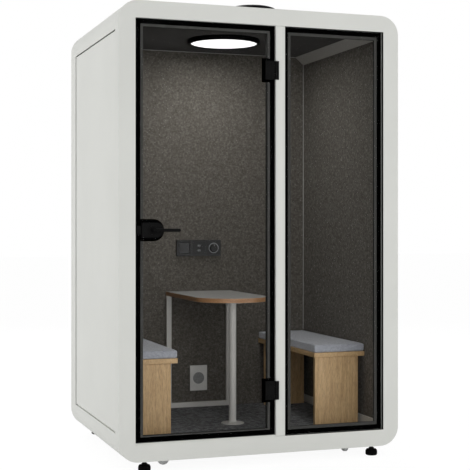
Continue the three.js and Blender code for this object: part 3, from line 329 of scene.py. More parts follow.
# %% Glass
SMEAR_MM = 300
GLASS_REFLECTION = 0.15
glass, tree, shader, place = material("toughened_glass", Base_Color=linear("#202625"),
                                      Roughness=0.03)
smear = add(tree, "TexNoise", {"Vector": place, "Scale": per_metre(SMEAR_MM), "Detail": 2.0})
span = {"Value": smear, "To Min": 0.02, "To Max": 0.05}
add(tree, "MapRange", span, to=shader.inputs["Roughness"])
slant = add(tree, "Fresnel", {"IOR": 1.45})
share = add(tree, "MapRange", {"Value": slant, "To Min": 0.0, "To Max": GLASS_REFLECTION})
tree.links.new(share.outputs["Result"], shader.inputs["Alpha"])
print("glass:", glass.name)

# %% [markdown]
# ## Enamel, rubber and plastic
# The printed band on the glass is black ceramic enamel, the seals are rubber and the switches are
# moulded plastic. All are skins with a fine grain, so one function makes them, and each has its
# own colour, grain and gloss.

# %% Enamel, rubber and plastic
PATCH_MM = 60


def moulded(name, code, shade, roughness, grain_mm, depth_mm, **values):
    """Moulded skin: a grain of small cells in the bump, and a slow shift of shade."""
    made, tree, shader, place = material(name, Roughness=roughness, **values)
    drift = add(tree, "TexNoise", {"Vector": place, "Scale": per_metre(PATCH_MM), "Detail": 3.0})
    shades = [(0.35, shade), (0.65, code)]
    add(tree, "ValToRGB", {"Fac": drift}, shades, shader.inputs["Base Color"])
    grain = add(tree, "TexVoronoi", {"Vector": place, "Scale": per_metre(grain_mm)})
    raised = {"Height": grain, "Distance": depth_mm * MM, "Strength": 0.4}
    add(tree, "Bump", raised, to=shader.inputs["Normal"])
    return made


enamel = moulded("black_ceramic_enamel", "#030303", "#020202", 0.5, 6, 0.01, Specular_IOR_Level=0.0)
rubber = moulded("grey_door_rubber", "#454543", "#3E3E3C", 0.75, 1.5, 0.1, Specular_IOR_Level=0.2)
black_rubber = moulded("black_rubber", "#070707", "#050505", 0.7, 2.0, 0.15,
                       Specular_IOR_Level=0.03)
plastic = moulded("black_moulded_plastic", "#242424", "#1E1E1E", 0.65, 1.2, 0.06)
pale_plastic = moulded("pale_grey_moulded_plastic", "#D8D7D3", "#CECDC9", 0.5, 1.6, 0.05)
gloss = moulded("polished_black_plastic", "#0C0C0E", "#08080A", 0.12, 8, 0.005)
marks = moulded("grey_plastic_insert", "#A6A8AA", "#9A9C9E", 0.35, 3, 0.01)
tread = moulded("grey_caster_rubber", "#D4D5D5", "#CACBCB", 0.5, 2.0, 0.08)
print("skins:", enamel.name, rubber.name, black_rubber.name, plastic.name, pale_plastic.name)

# %% [markdown]
# ## Steel and the lit lamp
# The caster forks are brushed steel: noise stretched along the brush marks changes the roughness.
# The lamp's disc is opal acrylic lit from behind. It lights the cabin at its full strength, while
# the rays that show it see one that is just past white. The reveals behind the glass lie in shade,
# so the trim and the seal are darker where they don't face the front.

# %% Steel and the lit lamp
BRUSH_MM, CLOUD_MM = 0.8, 120
ALONG_BRUSH = 0.05
BRUSH_DEPTH = 0.03 * MM
steel, tree, shader, place = material("brushed_steel", Base_Color=linear("#C2C3C4"), Metallic=1.0)
run = add(tree, "Mapping", {"Vector": place, "Scale": (ALONG_BRUSH, 1, 1)})
brush = add(tree, "TexNoise", {"Vector": run, "Scale": per_metre(BRUSH_MM), "Detail": 2.0})
span = {"Value": brush, "To Min": 0.24, "To Max": 0.42}
add(tree, "MapRange", span, to=shader.inputs["Roughness"])
raised = {"Height": brush, "Distance": BRUSH_DEPTH, "Strength": 0.3}
add(tree, "Bump", raised, to=shader.inputs["Normal"])

LAMP_STRENGTH, SEEN_STRENGTH = 17.0, 1.2
opal, tree, shader, place = material("opal_acrylic_lit", Base_Color=linear("#FFFFFF"),
                                     Emission_Color=linear("#FFFFFD"), Roughness=0.4)
cloud = add(tree, "TexNoise", {"Vector": place, "Scale": per_metre(CLOUD_MM), "Detail": 2.0})
span = {"Value": cloud, "To Min": LAMP_STRENGTH * 0.95, "To Max": LAMP_STRENGTH * 1.05}
glow = add(tree, "MapRange", span)
level = shown_as(tree, glow, SEEN_STRENGTH)
tree.links.new(level.outputs["Result"], shader.inputs["Emission Strength"])
for reveal in (trim_paint, rubber):
    by_normal(reveal.node_tree, "Y", across=linear("#161615"))
print("steel and lamp:", steel.name, opal.name)

# %% [markdown]
# ## Surfaces from numpy
# Every new piece is a grid of points: a profile turned about an axis, a section carried along a
# path, or a block with round edges. The grid's neighbours give the faces. Doubles are merged and
# the normals are turned outwards once, when the piece is made.

# %% Grids and soft corners


def surface(points, closed_rows=False):
    """Quads between the neighbours of a grid of points whose columns run round in a loop."""
    rows, columns = points.shape[:2]
    index = np.arange(rows * columns).reshape(rows, columns)
    index = np.concatenate([index, index[:, :1]], 1)
    if closed_rows:
        index = np.concatenate([index, index[:1]], 0)
    quads = np.stack([index[:-1, :-1], index[:-1, 1:], index[1:, 1:], index[1:, :-1]], -1)
    return points.reshape(-1, 3), quads.reshape(-1, 4)


def capped(points):
    """A grid with one more row at each end, drawn in to the middle of the end row."""
    ends = [np.broadcast_to(points[i].mean(0), points[i].shape)[None] for i in (0, -1)]
    return np.concatenate([ends[0], points, ends[1]], 0)


def soften(corners, radius, steps=5):
    """A polyline whose inner corners become quadratic curves that start that far from them."""
    corners = np.asarray(corners, float)
    before, here, after = corners[:-2], corners[1:-1], corners[2:]
    t = np.linspace(0, 1, steps)[None, :, None]

    def towards(there):
        away = there - here
        length = np.linalg.norm(away, axis=1, keepdims=True)
        return here + away / length * np.minimum(radius, length / 2)

    start, middle, end = towards(before)[:, None], here[:, None], towards(after)[:, None]
    curves = (1 - t) ** 2 * start + 2 * t * (1 - t) * middle + t**2 * end
    return np.concatenate([corners[:1], curves.reshape(-1, corners.shape[1]), corners[-1:]])


print("a softened right angle has", len(soften([(0, 0), (1, 0), (1, 1)], 0.2)), "points")

# %% Turned and swept surfaces
AXES = {"X": (1, 2, 0), "Y": (0, 2, 1), "Z": (0, 1, 2)}


def turned(profile, centre, axis="Z", steps=48, closed=False):
    """A profile of radius and height pairs in metres, turned about an axis through the centre."""
    profile = np.asarray(profile, float)
    angle = np.linspace(0, 2 * np.pi, steps, endpoint=False)
    ring = np.stack([np.cos(angle), np.sin(angle)], -1)
    flat = profile[:, None, :1] * ring[None]
    height = np.broadcast_to(profile[:, None, 1:], (*flat.shape[:2], 1))
    local = np.concatenate([flat, height], -1)
    place = np.empty_like(local)
    place[..., AXES[axis]] = local
    return surface(place + np.asarray(centre, float), closed)


def swept(path, widths, heights, up, power=2.6, steps=20, loop=False):
    """A superellipse section carried along a path; widths and heights are its half sizes there."""
    path = np.asarray(path, float)
    tangent = np.roll(path, -1, 0) - np.roll(path, 1, 0) if loop else np.gradient(path, axis=0)
    tangent /= np.linalg.norm(tangent, axis=1, keepdims=True)
    side = np.cross(tangent, up)
    side /= np.linalg.norm(side, axis=1, keepdims=True)
    over = np.cross(side, tangent)
    angle = np.linspace(0, 2 * np.pi, steps, endpoint=False)
    round_off = [np.sign(f) * np.abs(f) ** (2 / power) for f in (np.cos(angle), np.sin(angle))]
    widths = np.broadcast_to(widths, len(path))[:, None, None]
    heights = np.broadcast_to(heights, len(path))[:, None, None]
    points = (path[:, None] + widths * round_off[0][None, :, None] * side[:, None]
              + heights * round_off[1][None, :, None] * over[:, None])
    return surface(points if loop else capped(points), loop)


print("a turned cup has", len(turned([(0, 0), (1, 0), (1, 1)], (0, 0, 0))[1]), "faces")

# %% Blocks and copies


def soft_block(low, high, radius, steps=4):
    """A box with round edges: an eighth of a sphere at each corner, moved out to the corners."""
    low, high = np.asarray(low, float), np.asarray(high, float)
    quarter = np.linspace(0, np.pi / 2, steps)
    turn = (quarter[None] + np.arange(4)[:, None] * np.pi / 2).ravel()
    tilt = np.concatenate([quarter - np.pi / 2, quarter])
    halves = np.repeat([-1, 1], steps)
    quadrant = np.repeat(np.arange(4) * np.pi / 2 + np.pi / 4, steps)
    signs = np.stack(np.broadcast_arrays(np.sign(np.cos(quadrant))[None],
                                         np.sign(np.sin(quadrant))[None], halves[:, None]), -1)
    ball = np.stack(np.broadcast_arrays(np.cos(tilt)[:, None] * np.cos(turn)[None],
                                        np.cos(tilt)[:, None] * np.sin(turn)[None],
                                        np.sin(tilt)[:, None]), -1)
    points = (low + high) / 2 + signs * ((high - low) / 2 - radius) + radius * ball
    return surface(capped(points))


def copies(shape, places):
    """The same shape at several places: its points plus each place."""
    points, faces = shape
    places = np.asarray(places, float)
    shift = (np.arange(len(places)) * len(points))[:, None, None]
    return (points[None] + places[:, None]).reshape(-1, 3), (faces[None] + shift).reshape(-1, 4)


print("a soft block has", len(soft_block((0, 0, 0), (1, 1, 1), 0.1)[1]), "faces")

# %% [markdown]
# ## From a grid to a piece
# A piece is a mesh with one finish. It rides a body of the frame, and it may stand for CAD nodes.
# A CAD node is made of loose triangles, so a copy of it is merged and its flat faces are joined
# up, and a Bevel modifier then finds only the real edges.

# %% Pieces
SHARP_ANGLE, BEVEL_ANGLE, FLAT_ANGLE = np.radians(38), np.radians(40), np.radians(0.6)
DOUBLE, NODE_DOUBLE, SLIVER = 1e-6, 2e-5, 1e-7
BEVEL_SEGMENTS = 3


def finish_mesh(bm, name):
    """A mesh from a bmesh, smooth except along edges sharper than the sharp angle."""
    mesh = bpy.data.meshes.new(name)
    bm.to_mesh(mesh)
    bm.free()
    mesh.shade_smooth()
    mesh.set_sharp_from_angle(angle=SHARP_ANGLE)
    return mesh


def place_piece(mesh, finish, body, nodes=(), bevel_mm=0):
    """Puts a mesh in the scene as a piece that rides a body and stands for these CAD nodes."""
    piece = bpy.data.objects.new(mesh.name, mesh)
    scene.collection.objects.link(piece)
    mesh.materials.clear()
    mesh.materials.append(finish)
    if bevel_mm:
        edge = piece.modifiers.new("round_edges", "BEVEL")
        edge.width, edge.segments, edge.limit_method = bevel_mm * MM, BEVEL_SEGMENTS, "ANGLE"
        edge.angle_limit, edge.harden_normals = BEVEL_ANGLE, True
    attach(piece, body)
    if nodes:
        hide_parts(*nodes)
    return piece


def make(name, shapes, finish, body, nodes=(), bevel_mm=0):
    """A new piece from one or more grids."""
    counts = np.cumsum([0] + [len(points) for points, _ in shapes])
    points = np.concatenate([points for points, _ in shapes])
    faces = np.concatenate([quads + start for (_, quads), start in zip(shapes, counts)])
    raw = bpy.data.meshes.new("raw")
    raw.from_pydata(points.tolist(), [], faces.tolist())
    bm = bmesh.new()
    bm.from_mesh(raw)
    bpy.data.meshes.remove(raw)
    bmesh.ops.remove_doubles(bm, verts=bm.verts, dist=DOUBLE)
    bmesh.ops.dissolve_degenerate(bm, edges=bm.edges, dist=SLIVER)
    bmesh.ops.recalc_face_normals(bm, faces=bm.faces)
    return place_piece(finish_mesh(bm, name), finish, body, nodes, bevel_mm)


def dress(node, finish, bevel_mm):
    """A merged copy of a CAD node with its flat faces joined up and its edges rounded."""
    bm = bmesh.new()
    bm.from_mesh(frame["nodes"][node].data)
    bmesh.ops.remove_doubles(bm, verts=bm.verts, dist=NODE_DOUBLE)
    bmesh.ops.dissolve_limit(bm, angle_limit=FLAT_ANGLE, verts=bm.verts, edges=bm.edges)
    mesh = finish_mesh(bm, f"finished_{node}")
    return place_piece(mesh, finish, body_of[node], [node], bevel_mm)


def box(node):
    """A node's lowest and highest corner as arrays."""
    return [np.array(corner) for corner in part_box(node)]


print("piece helpers ready")

# %% [markdown]
# ## The shell, lining and furniture boards
# These solids already have the right shape, so they are not made again. Each gets the small edge
# radius that its material has: folded steel and board 1.5 mm, the thick frames and the post more.

# %% Dress the solids
DRESSED = [
    (("front_frame", "rear_frame"), shell_paint, 4),
    (("mullion_post",), shell_paint, 3),
    (("roof_shell", "base_shell", "left_side_panel", "right_side_panel", "back_panel"),
     shell_paint, 1.5),
    (("glazing_frame",), trim_paint, 1.5),
    (("left_wall_felt", "right_wall_felt", "back_wall_felt"), wall_felt, 1.5),
    (("ceiling_panel",), ceiling_board, 1.0),
    (("floor_carpet",), carpet, 1.5),
    (("left_skirting", "right_skirting", "table_wall_frame"), leg_paint, 2),
    (("window_glass", "door_glass"), glass, 0),
    (("door_seal",), rubber, 3),
    (("hinge_leaf_top", "hinge_leaf_bottom", "hinge_jamb_top", "hinge_jamb_bottom"),
     black_paint, 1.0),
    (("latch_bolt",), black_paint, 1.0),
    (("table_top",), laminate, 1.5),
    (("switch_plate",), plastic, 2),
    (("air_inlet",), pale_plastic, 2),
    (("rocker_switch",), gloss, 1.5),
    (("vent_cap", "fan_rotor"), black_paint, 1.0),
    (tuple(f"{corner}_caster_fork" for corner in CORNERS), steel, 0.6),
]
for nodes, finish, bevel_mm in DRESSED:
    for node in nodes:
        dress(node, finish, bevel_mm)
for side in ("left", "right"):
    dress(f"{side}_bench_board", oaks["lengthwise"], 1.5)
    for leg in ("near_leg", "far_leg"):
        dress(f"{side}_bench_{leg}", oaks["upright"], 1.5)
for node in ("door_border", "window_border"):
    frame["nodes"][node].data.materials.clear()
    frame["nodes"][node].data.materials.append(enamel)

# %% [markdown]
# ## Painted groove shade and window gasket
# A black strip at the bottom of the shadow grooves, behind and above each side panel, is painted
# shade that keeps the grooves dark. The fixed pane is bedded in a black rubber gasket that lines
# the reveal in front of it. Both are straight lengths, so a block with round edges is all that
# each needs.

# %% Painted groove shade and window gasket
GROOVE_DEPTH, REAR_GROOVE, TOP_GROOVE = 10 * MM, 30 * MM, 8 * MM
STRIP, STRIP_ROUND = 2 * MM, 0.5 * MM
strips = []
for side in ("left", "right"):
    low, high = box(f"{side}_side_panel")
    outer, inward = (low[0], 1) if side == "left" else (high[0], -1)
    x0, x1 = sorted((outer + inward * GROOVE_DEPTH, outer + inward * (GROOVE_DEPTH - STRIP)))
    behind = soft_block((x0, high[1] - REAR_GROOVE, low[2]), (x1, high[1], high[2]), STRIP_ROUND, 3)
    above = soft_block((x0, low[1], high[2] - TOP_GROOVE), (x1, high[1], high[2]), STRIP_ROUND, 3)
    strips += [behind, above]
# Painted shade: black strips darken the bottom of the grooves behind and above the side panels.
make("groove_seals", strips, black_rubber, "pod")

GASKET, PANE_GAP, LIP = 1.6 * MM, 1 * MM, 3 * MM
low, high = box("window_glass")
low, high = low - PANE_GAP, high + PANE_GAP
y0, y1 = box("front_frame")[0][1] + LIP, box("window_glass")[0][1]
lining = [((low[0], y0, low[2]), (low[0] + GASKET, y1, high[2])),
          ((high[0] - GASKET, y0, low[2]), (high[0], y1, high[2])),
          ((low[0], y0, low[2]), (high[0], y1, low[2] + GASKET)),
          ((low[0], y0, high[2] - GASKET), (high[0], y1, high[2]))]
gasket = [soft_block(*corners, STRIP_ROUND, 3) for corners in lining]
make("window_gasket", gasket, black_rubber, "pod")
print("seal strips:", len(strips), "gasket sides:", len(gasket))

# %% [markdown]
# ## Screws
# Fittings are held by small flat-headed screws with a dimple for the key. One turned head, drawn
# with few faces, is repeated wherever a maker would put it. The copies of its points are one mesh,
# which is simpler to hand on than many objects.

# %% Screw heads
HEAD = np.array([(0, -0.9), (1.7, -0.9), (1.9, 0.4), (3.4, 0.4), (4.0, 0.1), (4.0, -0.6),
                 (0, -0.6)]) * MM
HINGE_ROW, LEAF_COLUMNS = 32 * MM, (12 * MM, 36 * MM)
JAMB_EDGE, JAMB_DEPTH = 5.5 * MM, 9 * MM
RIM_EDGE, RIM_END = 28 * MM, 70 * MM
RIM_ACROSS, RIM_UPWARD = 7, 10


def screws(name, places, towards, body, finish, size=1.0):
    """Screw heads at these places; their axis is Y, and towards is the side that they face."""
    head = turned(HEAD * size * [1, towards], (0, 0, 0), "Y", steps=14)
    return make(name, [copies(head, places)], finish, body)


hinge_screws = 0
for place in ("top", "bottom"):
    low, high = box(f"hinge_leaf_{place}")
    middle = (low[2] + high[2]) / 2
    rows = [middle - HINGE_ROW, middle + HINGE_ROW]
    leaf = [(low[0] + column, low[1], z) for column in LEAF_COLUMNS for z in rows]
    screws(f"hinge_leaf_screws_{place}", leaf, -1, "door", black_paint)
    low, high = box(f"hinge_jamb_{place}")
    jamb = [(high[0] - JAMB_EDGE, high[1] - JAMB_DEPTH, z) for z in rows]
    screws(f"hinge_jamb_screws_{place}", jamb, -1, "pod", black_paint, 0.8)
    hinge_screws += len(leaf) + len(jamb)
low, high = box("back_panel")
across = np.linspace(low[0] + RIM_END, high[0] - RIM_END, RIM_ACROSS)
upward = np.linspace(low[2] + RIM_END, high[2] - RIM_END, RIM_UPWARD)[1:-1]
rim = [(x, high[1], z) for x in across for z in (low[2] + RIM_EDGE, high[2] - RIM_EDGE)]
rim += [(x, high[1], z) for z in upward for x in (low[0] + RIM_EDGE, high[0] - RIM_EDGE)]
screws("back_panel_screws", rim, 1, "pod", shell_paint, 1.4)
print("screws on the hinges:", hinge_screws, "and on the back panel:", len(rim))

# %% [markdown]
# ## Lock case
# The lock is a flat case on each side of the pane, joined by a web that passes the pane's edge. A
# case has a D outline with a soft rim. It could be a block with a bevel, but an outline that is
# carried inwards along a quarter round gives the rim an even radius all the way.

# %% Lock case
SPINDLE_X = next(j for j in record["behaviour"]["joints"] if j["name"] == "lever_turn")["pos_m"][0]
lock_low, lock_high = box("lock_case")
LOCK_Z = (lock_low[2] + lock_high[2]) / 2
LOCK_HALF = (lock_high[2] - lock_low[2]) / 2


def d_outline(x0, x1, z, half):
    """A plate's outline in X and Z: small round corners at x0, and a half circle at x1."""
    def arc(x, height, radius, start, end, steps):
        angle = np.radians(np.linspace(start, end, steps))
        return np.stack([x + radius * np.cos(angle), height + radius * np.sin(angle)], -1)

    corner = 4 * MM
    return np.concatenate([
        arc(x0 + corner, z - half + corner, corner, 180, 270, 6),
        arc(x1 - half, z, half, -90, 90, 40),
        arc(x0 + corner, z + half - corner, corner, 90, 180, 6)])


def soft_plate(outline, face, back, radius):
    """A plate in X and Z from its face to its back in Y, with a quarter round at its edge."""
    along = np.roll(outline, -1, 0) - np.roll(outline, 1, 0)
    along /= np.linalg.norm(along, axis=1, keepdims=True)
    inward = np.stack([-along[:, 1], along[:, 0]], -1)
    angle = np.linspace(0, np.pi / 2, 6)
    inset = np.append(radius * (1 - np.sin(angle)), 0)
    depth = np.append(radius * (1 - np.cos(angle)), abs(back - face))
    flat = outline[None] + inset[:, None, None] * inward[None]
    y = np.broadcast_to(face + np.sign(back - face) * depth[:, None], flat.shape[:2])
    return surface(capped(np.stack([flat[..., 0], y, flat[..., 1]], -1)))


OUTER_CASE, INNER_CASE, CASE_ROUND = 14 * MM, 13.4 * MM, 3 * MM
WEB_FRONT, WEB_BACK, WEB_REACH, WEB_HALF = 13 * MM, 13.5 * MM, 9 * MM, 22 * MM
BOLT_SIDE, INNER_STEP, WEB_ROUND = 22 * MM, 16 * MM, 0.3 * MM
outer_left = lock_low[0] + BOLT_SIDE
inner_left = outer_left + INNER_STEP
outer_shape = d_outline(outer_left, lock_high[0], LOCK_Z, LOCK_HALF)
inner_shape = d_outline(inner_left, lock_high[0], LOCK_Z, LOCK_HALF)
cases = [soft_plate(outer_shape, lock_low[1], lock_low[1] + OUTER_CASE, CASE_ROUND),
         soft_plate(inner_shape, lock_high[1], lock_high[1] - INNER_CASE, CASE_ROUND)]
web_low = (lock_low[0], lock_low[1] + WEB_FRONT, LOCK_Z - WEB_HALF)
web_high = (SPINDLE_X + WEB_REACH, lock_high[1] - WEB_BACK, LOCK_Z + WEB_HALF)
cases.append(soft_block(web_low, web_high, WEB_ROUND, 3))
make("lock_cases", cases, black_paint, "door", ["lock_case"])
print("lock at x", round(SPINDLE_X, 3), "z", round(float(LOCK_Z), 3))

# %% [markdown]
# ## Levers
# A lever is a bar bent out of its neck. The path leaves the rose at a right angle, turns through
# a soft bend and runs level to the tip; the section changes from the round neck to a flatter bar.
# One section swept along the path makes neck, bend and bar a single smooth surface. Two screws
# hold the outer case.

# %% Levers and roses
ROSE = np.array([(0, 0.3), (22.6, 0.3), (23, 0.8), (23, 3.8), (21.8, 5), (15, 5), (14.4, 4.5),
                 (13.8, 5), (0, 5)]) * MM
NECK_RADIUS, BAR_HALF_WIDTH, BAR_HALF_HEIGHT = 10 * MM, 6 * MM, 8 * MM
NECK_START, BEND, TIP_ROUND, TIP_GAP = 2 * MM, 20 * MM, 8 * MM, 1 * MM
FLATTEN_START, FLATTEN_LENGTH = 20 * MM, 30 * MM
CAP_EDGE, CAP_ROW = 10 * MM, 25 * MM


def lever(node, face, out):
    """A rose with a ring groove, and a bar swept along the bent path; out is its Y direction."""
    low, high = box(node)
    tip_y = (low if out < 0 else high)[1]
    centre_y = tip_y - out * BAR_HALF_WIDTH
    corners = [(SPINDLE_X, face + out * NECK_START, LOCK_Z), (SPINDLE_X, centre_y, LOCK_Z),
               (high[0] - TIP_GAP, centre_y, LOCK_Z)]
    bend = soften(corners, BEND, 24)
    length = np.concatenate([[0], np.cumsum(np.linalg.norm(np.diff(bend, axis=0), axis=1))])
    even = np.linspace(0, length[-1], 90)
    path = np.stack([np.interp(even, length, bend[:, k]) for k in range(3)], -1)
    share = np.clip((even - FLATTEN_START) / FLATTEN_LENGTH, 0, 1)
    left = np.clip((length[-1] - even) / TIP_ROUND, 0.02, 1)
    tip = np.sqrt(left * (2 - left))
    widths = (NECK_RADIUS + (BAR_HALF_WIDTH - NECK_RADIUS) * share) * tip
    heights = (NECK_RADIUS + (BAR_HALF_HEIGHT - NECK_RADIUS) * share) * tip
    bar = swept(path, widths, heights, (0, 0, 1), 2.8, 24)
    base = turned(ROSE * [1, out], (SPINDLE_X, face, LOCK_Z), "Y", 64)
    return make(f"{node}_bar", [bar, base], black_paint, "lever", [node])


lever("lever_outside", lock_low[1], -1)
lever("lever_inside", lock_high[1], 1)
caps = [(outer_left + CAP_EDGE, lock_low[1], LOCK_Z + dz) for dz in (-CAP_ROW, CAP_ROW)]
screws("lock_case_screws", caps, -1, "door", black_paint, 0.9)
print("screws in the lock case:", len(caps))

# %% [markdown]
# ## Strike plate and sill
# The bolt shoots into a black strike plate on the stile, and a painted threshold closes the gap
# under the door. Both are thin plates with round edges. The strike is four bars round its slot,
# which saves a Boolean cut and the thin faces that it can leave.

# %% Strike plate and sill
STOP_GAP = 0.3 * MM
opening_left = box("glazing_frame")[0][0] - STOP_GAP
pane_low, pane_high = box("door_glass")
bolt_low, bolt_high = box("latch_bolt")
bolt_y = (bolt_low[1] + bolt_high[1]) / 2
STRIKE_SUNK, STRIKE_PROUD, STRIKE_ROUND = 0.5 * MM, 0.9 * MM, 0.4 * MM
SLOT_HALF, SLOT_REACH = 4 * MM, 10 * MM
STRIKE_HALF, STRIKE_REACH = 7 * MM, 30 * MM
SILL_GAP, SILL_ROOM, SILL_BED, SILL_ROUND = 10 * MM, 2.5 * MM, 1 * MM, 1 * MM
DOOR_GAP = 3 * MM
x0, x1 = opening_left - STRIKE_SUNK, opening_left + STRIKE_PROUD
sides = ((-STRIKE_HALF, -SLOT_HALF), (SLOT_HALF, STRIKE_HALF))
ends = ((-STRIKE_REACH, -SLOT_REACH), (SLOT_REACH, STRIKE_REACH))
bars = [((x0, bolt_y + near, LOCK_Z - STRIKE_REACH), (x1, bolt_y + far, LOCK_Z + STRIKE_REACH))
        for near, far in sides]
bars += [((x0, bolt_y - STRIKE_HALF, LOCK_Z + under), (x1, bolt_y + STRIKE_HALF, LOCK_Z + over))
         for under, over in ends]
strike = [soft_block(low, high, STRIKE_ROUND, 3) for low, high in bars]
make("strike_plate", strike, black_paint, "pod")
frame_low = pane_low[2] - SILL_GAP
sill = soft_block((opening_left, pane_low[1] + SILL_BED, frame_low - SILL_BED),
                  (pane_high[0] + DOOR_GAP, pane_high[1], pane_low[2] - SILL_ROOM), SILL_ROUND)
make("threshold_bar", [sill], shell_paint, "pod")
print("sill between z", round(frame_low, 4), "and", round(pane_low[2], 4))

# %% [markdown]
# ## Table leg, lamp and dimmer
# The table stands on a tube with a foot and a top plate, the lamp is a shallow tray with an opal
# disc, and the dimmer is a round cap. Each could be stacked from cylinders, but a turned profile
# gives all its steps and soft corners in one surface, finer than the collision solid.

# %% Table leg and lamp
FOOT_MM, TUBE_MM, PLATE_MM = 62.5, 20, 8
LAMP_MM, LAMP_HEIGHT_MM = 202, 25
TRAY_MM, TRAY_DEPTH_MM = 184.4, 9
DISC_MM, DISC_TOP_MM = 184, 8


def middle_of(node):
    """The centre of a node's box."""
    low, high = box(node)
    return (low + high) / 2


low, high = box("table_leg")
height = (high - low)[2] / MM
post = soften([(0, 0), (FOOT_MM, 0), (FOOT_MM, 4.5), (28, 8), (TUBE_MM, 16),
               (TUBE_MM, height - PLATE_MM), (FOOT_MM, height - PLATE_MM), (FOOT_MM, height),
               (0, height)], 2, 6) * MM
leg_centre = (*middle_of("table_leg")[:2], low[2])
make("table_leg_tube", [turned(post, leg_centre)], leg_paint, "pod", ["table_leg"])

low, high = box("lamp_housing")
tray = soften([(0, TRAY_DEPTH_MM), (TRAY_MM, TRAY_DEPTH_MM), (TRAY_MM, 0), (LAMP_MM, 0),
               (LAMP_MM, LAMP_HEIGHT_MM), (0, LAMP_HEIGHT_MM)], 1.5, 5) * MM
lamp_centre = (*middle_of("lamp_housing")[:2], low[2])
make("lamp_ring", [turned(tray, lamp_centre, steps=128)], black_paint, "pod",
     ["lamp_housing"])
low, high = box("lamp_diffuser")
disc = soften([(0, 4.6), (150, 4.8), (182, 5.4), (DISC_MM, 6.4), (DISC_MM, DISC_TOP_MM),
               (0, DISC_TOP_MM)], 1, 6) * MM
make("lamp_disc", [turned(disc, (*lamp_centre[:2], low[2]), steps=128)], opal, "pod",
     ["lamp_diffuser"])
print("table leg height in mm:", round(float(height)), "lamp centre:", np.round(lamp_centre, 3))

# %% Dimmer
POINTER_LOW, POINTER_HIGH = np.array([(-1, -15.3, 11), (1, -14, 21)]) * MM
POINTER_ROUND = 0.4 * MM
face_y = box("switch_plate")[0][1]
cap = soften([(0, -8), (3, -8), (3, 0.3), (24, 0.3), (25, 1.2), (24, 13), (21.5, 15), (10, 14.2),
              (0, 14)], 0.8, 5) * MM
knob_centre = (middle_of("dimmer_knob")[0], face_y, middle_of("dimmer_knob")[2])
make("dimmer_knob_cap", [turned(cap * [1, -1], knob_centre, "Y", 72)], plastic, "dimmer",
     ["dimmer_knob"])
mark = soft_block(knob_centre + POINTER_LOW, knob_centre + POINTER_HIGH, POINTER_ROUND, 3)
make("dimmer_pointer", [mark], marks, "dimmer")
scale = soften([(27, -0.2), (30, -0.2), (30.4, 0.8), (27.4, 0.8), (27, -0.2)], 0.2, 3) * MM
make("dimmer_ring", [turned(scale * [1, -1], knob_centre, "Y", 72)], marks, "pod")
print("knob centre:", np.round(knob_centre, 3))

# %% [markdown]
# ## Switch modules
# The plate carries three modules with a raised rim each. The middle one has two charging sockets:
# a pale tongue in a dark mouth. A rim is a thin section swept round a rectangle with round corners,
# so that it has a real edge to catch the light, which a bump would not.

# %% Switch modules
MODULE_HALF, MODULE_ROUND, RIM_SECTION = (43.5 * MM, 45.5 * MM), 4 * MM, (1 * MM, 0.7 * MM)
SOCKET_ROW, SOCKET_HALF, SOCKET_ROUND = 14 * MM, (8 * MM, 4.2 * MM), 1.2 * MM
SOCKET_SECTION, INSERT_ROUND = (0.7 * MM, 0.6 * MM), 0.3 * MM
MOUTH_HALF_X, MOUTH_HALF_Z, MOUTH_PROUD, MOUTH_SUNK = 7.2 * MM, 3.4 * MM, 0.35 * MM, 2 * MM
TONGUE_HALF_X, TONGUE_LOW, TONGUE_HIGH = 5.5 * MM, 0.4 * MM, 2.4 * MM
TONGUE_PROUD, TONGUE_SUNK = 0.8 * MM, 1 * MM
low, high = box("switch_plate")
plate_z = (low[2] + high[2]) / 2
MODULE = (high[0] - low[0]) / 3


def rim_path(x, z, half_x, half_z, y, radius):
    """A rectangle in X and Z with round corners, walked as a closed loop."""
    angle = np.linspace(0, 2 * np.pi, 64, endpoint=False)
    sx, sz = np.sign(np.cos(angle + 1e-6)), np.sign(np.sin(angle + 1e-6))
    return np.stack([x + sx * (half_x - radius) + radius * np.cos(angle), np.full_like(angle, y),
                     z + sz * (half_z - radius) + radius * np.sin(angle)], -1)


rims = [swept(rim_path(i * MODULE, plate_z, *MODULE_HALF, face_y, MODULE_ROUND), *RIM_SECTION,
              (0, 1, 0), loop=True, steps=8) for i in (-1, 0, 1)]
make("switch_rims", rims, gloss, "pod")
mouths, tongues = [], []
for z in (plate_z - SOCKET_ROW, plate_z + SOCKET_ROW):
    rim = rim_path(0, z, *SOCKET_HALF, face_y, SOCKET_ROUND)
    tongues.append(swept(rim, *SOCKET_SECTION, (0, 1, 0), loop=True, steps=8))
    mouths.append(soft_block((-MOUTH_HALF_X, face_y - MOUTH_PROUD, z - MOUTH_HALF_Z),
                             (MOUTH_HALF_X, face_y + MOUTH_SUNK, z + MOUTH_HALF_Z), INSERT_ROUND, 3))
    tongues.append(soft_block((-TONGUE_HALF_X, face_y - TONGUE_PROUD, z + TONGUE_LOW),
                              (TONGUE_HALF_X, face_y + TONGUE_SUNK, z + TONGUE_HIGH), INSERT_ROUND, 3))
make("socket_mouths", mouths, gloss, "pod")
make("socket_tongues", tongues, marks, "pod")
print("switch module width:", round(MODULE, 4), "sockets:", len(mouths))

# %% [markdown]
# ## Air inlet
# The inlet has a round grille of perforated steel over its slots, and a dark filter behind them.
# The holes are too small and too many to cut, so a regular pattern of cells draws them at their
# pitch.

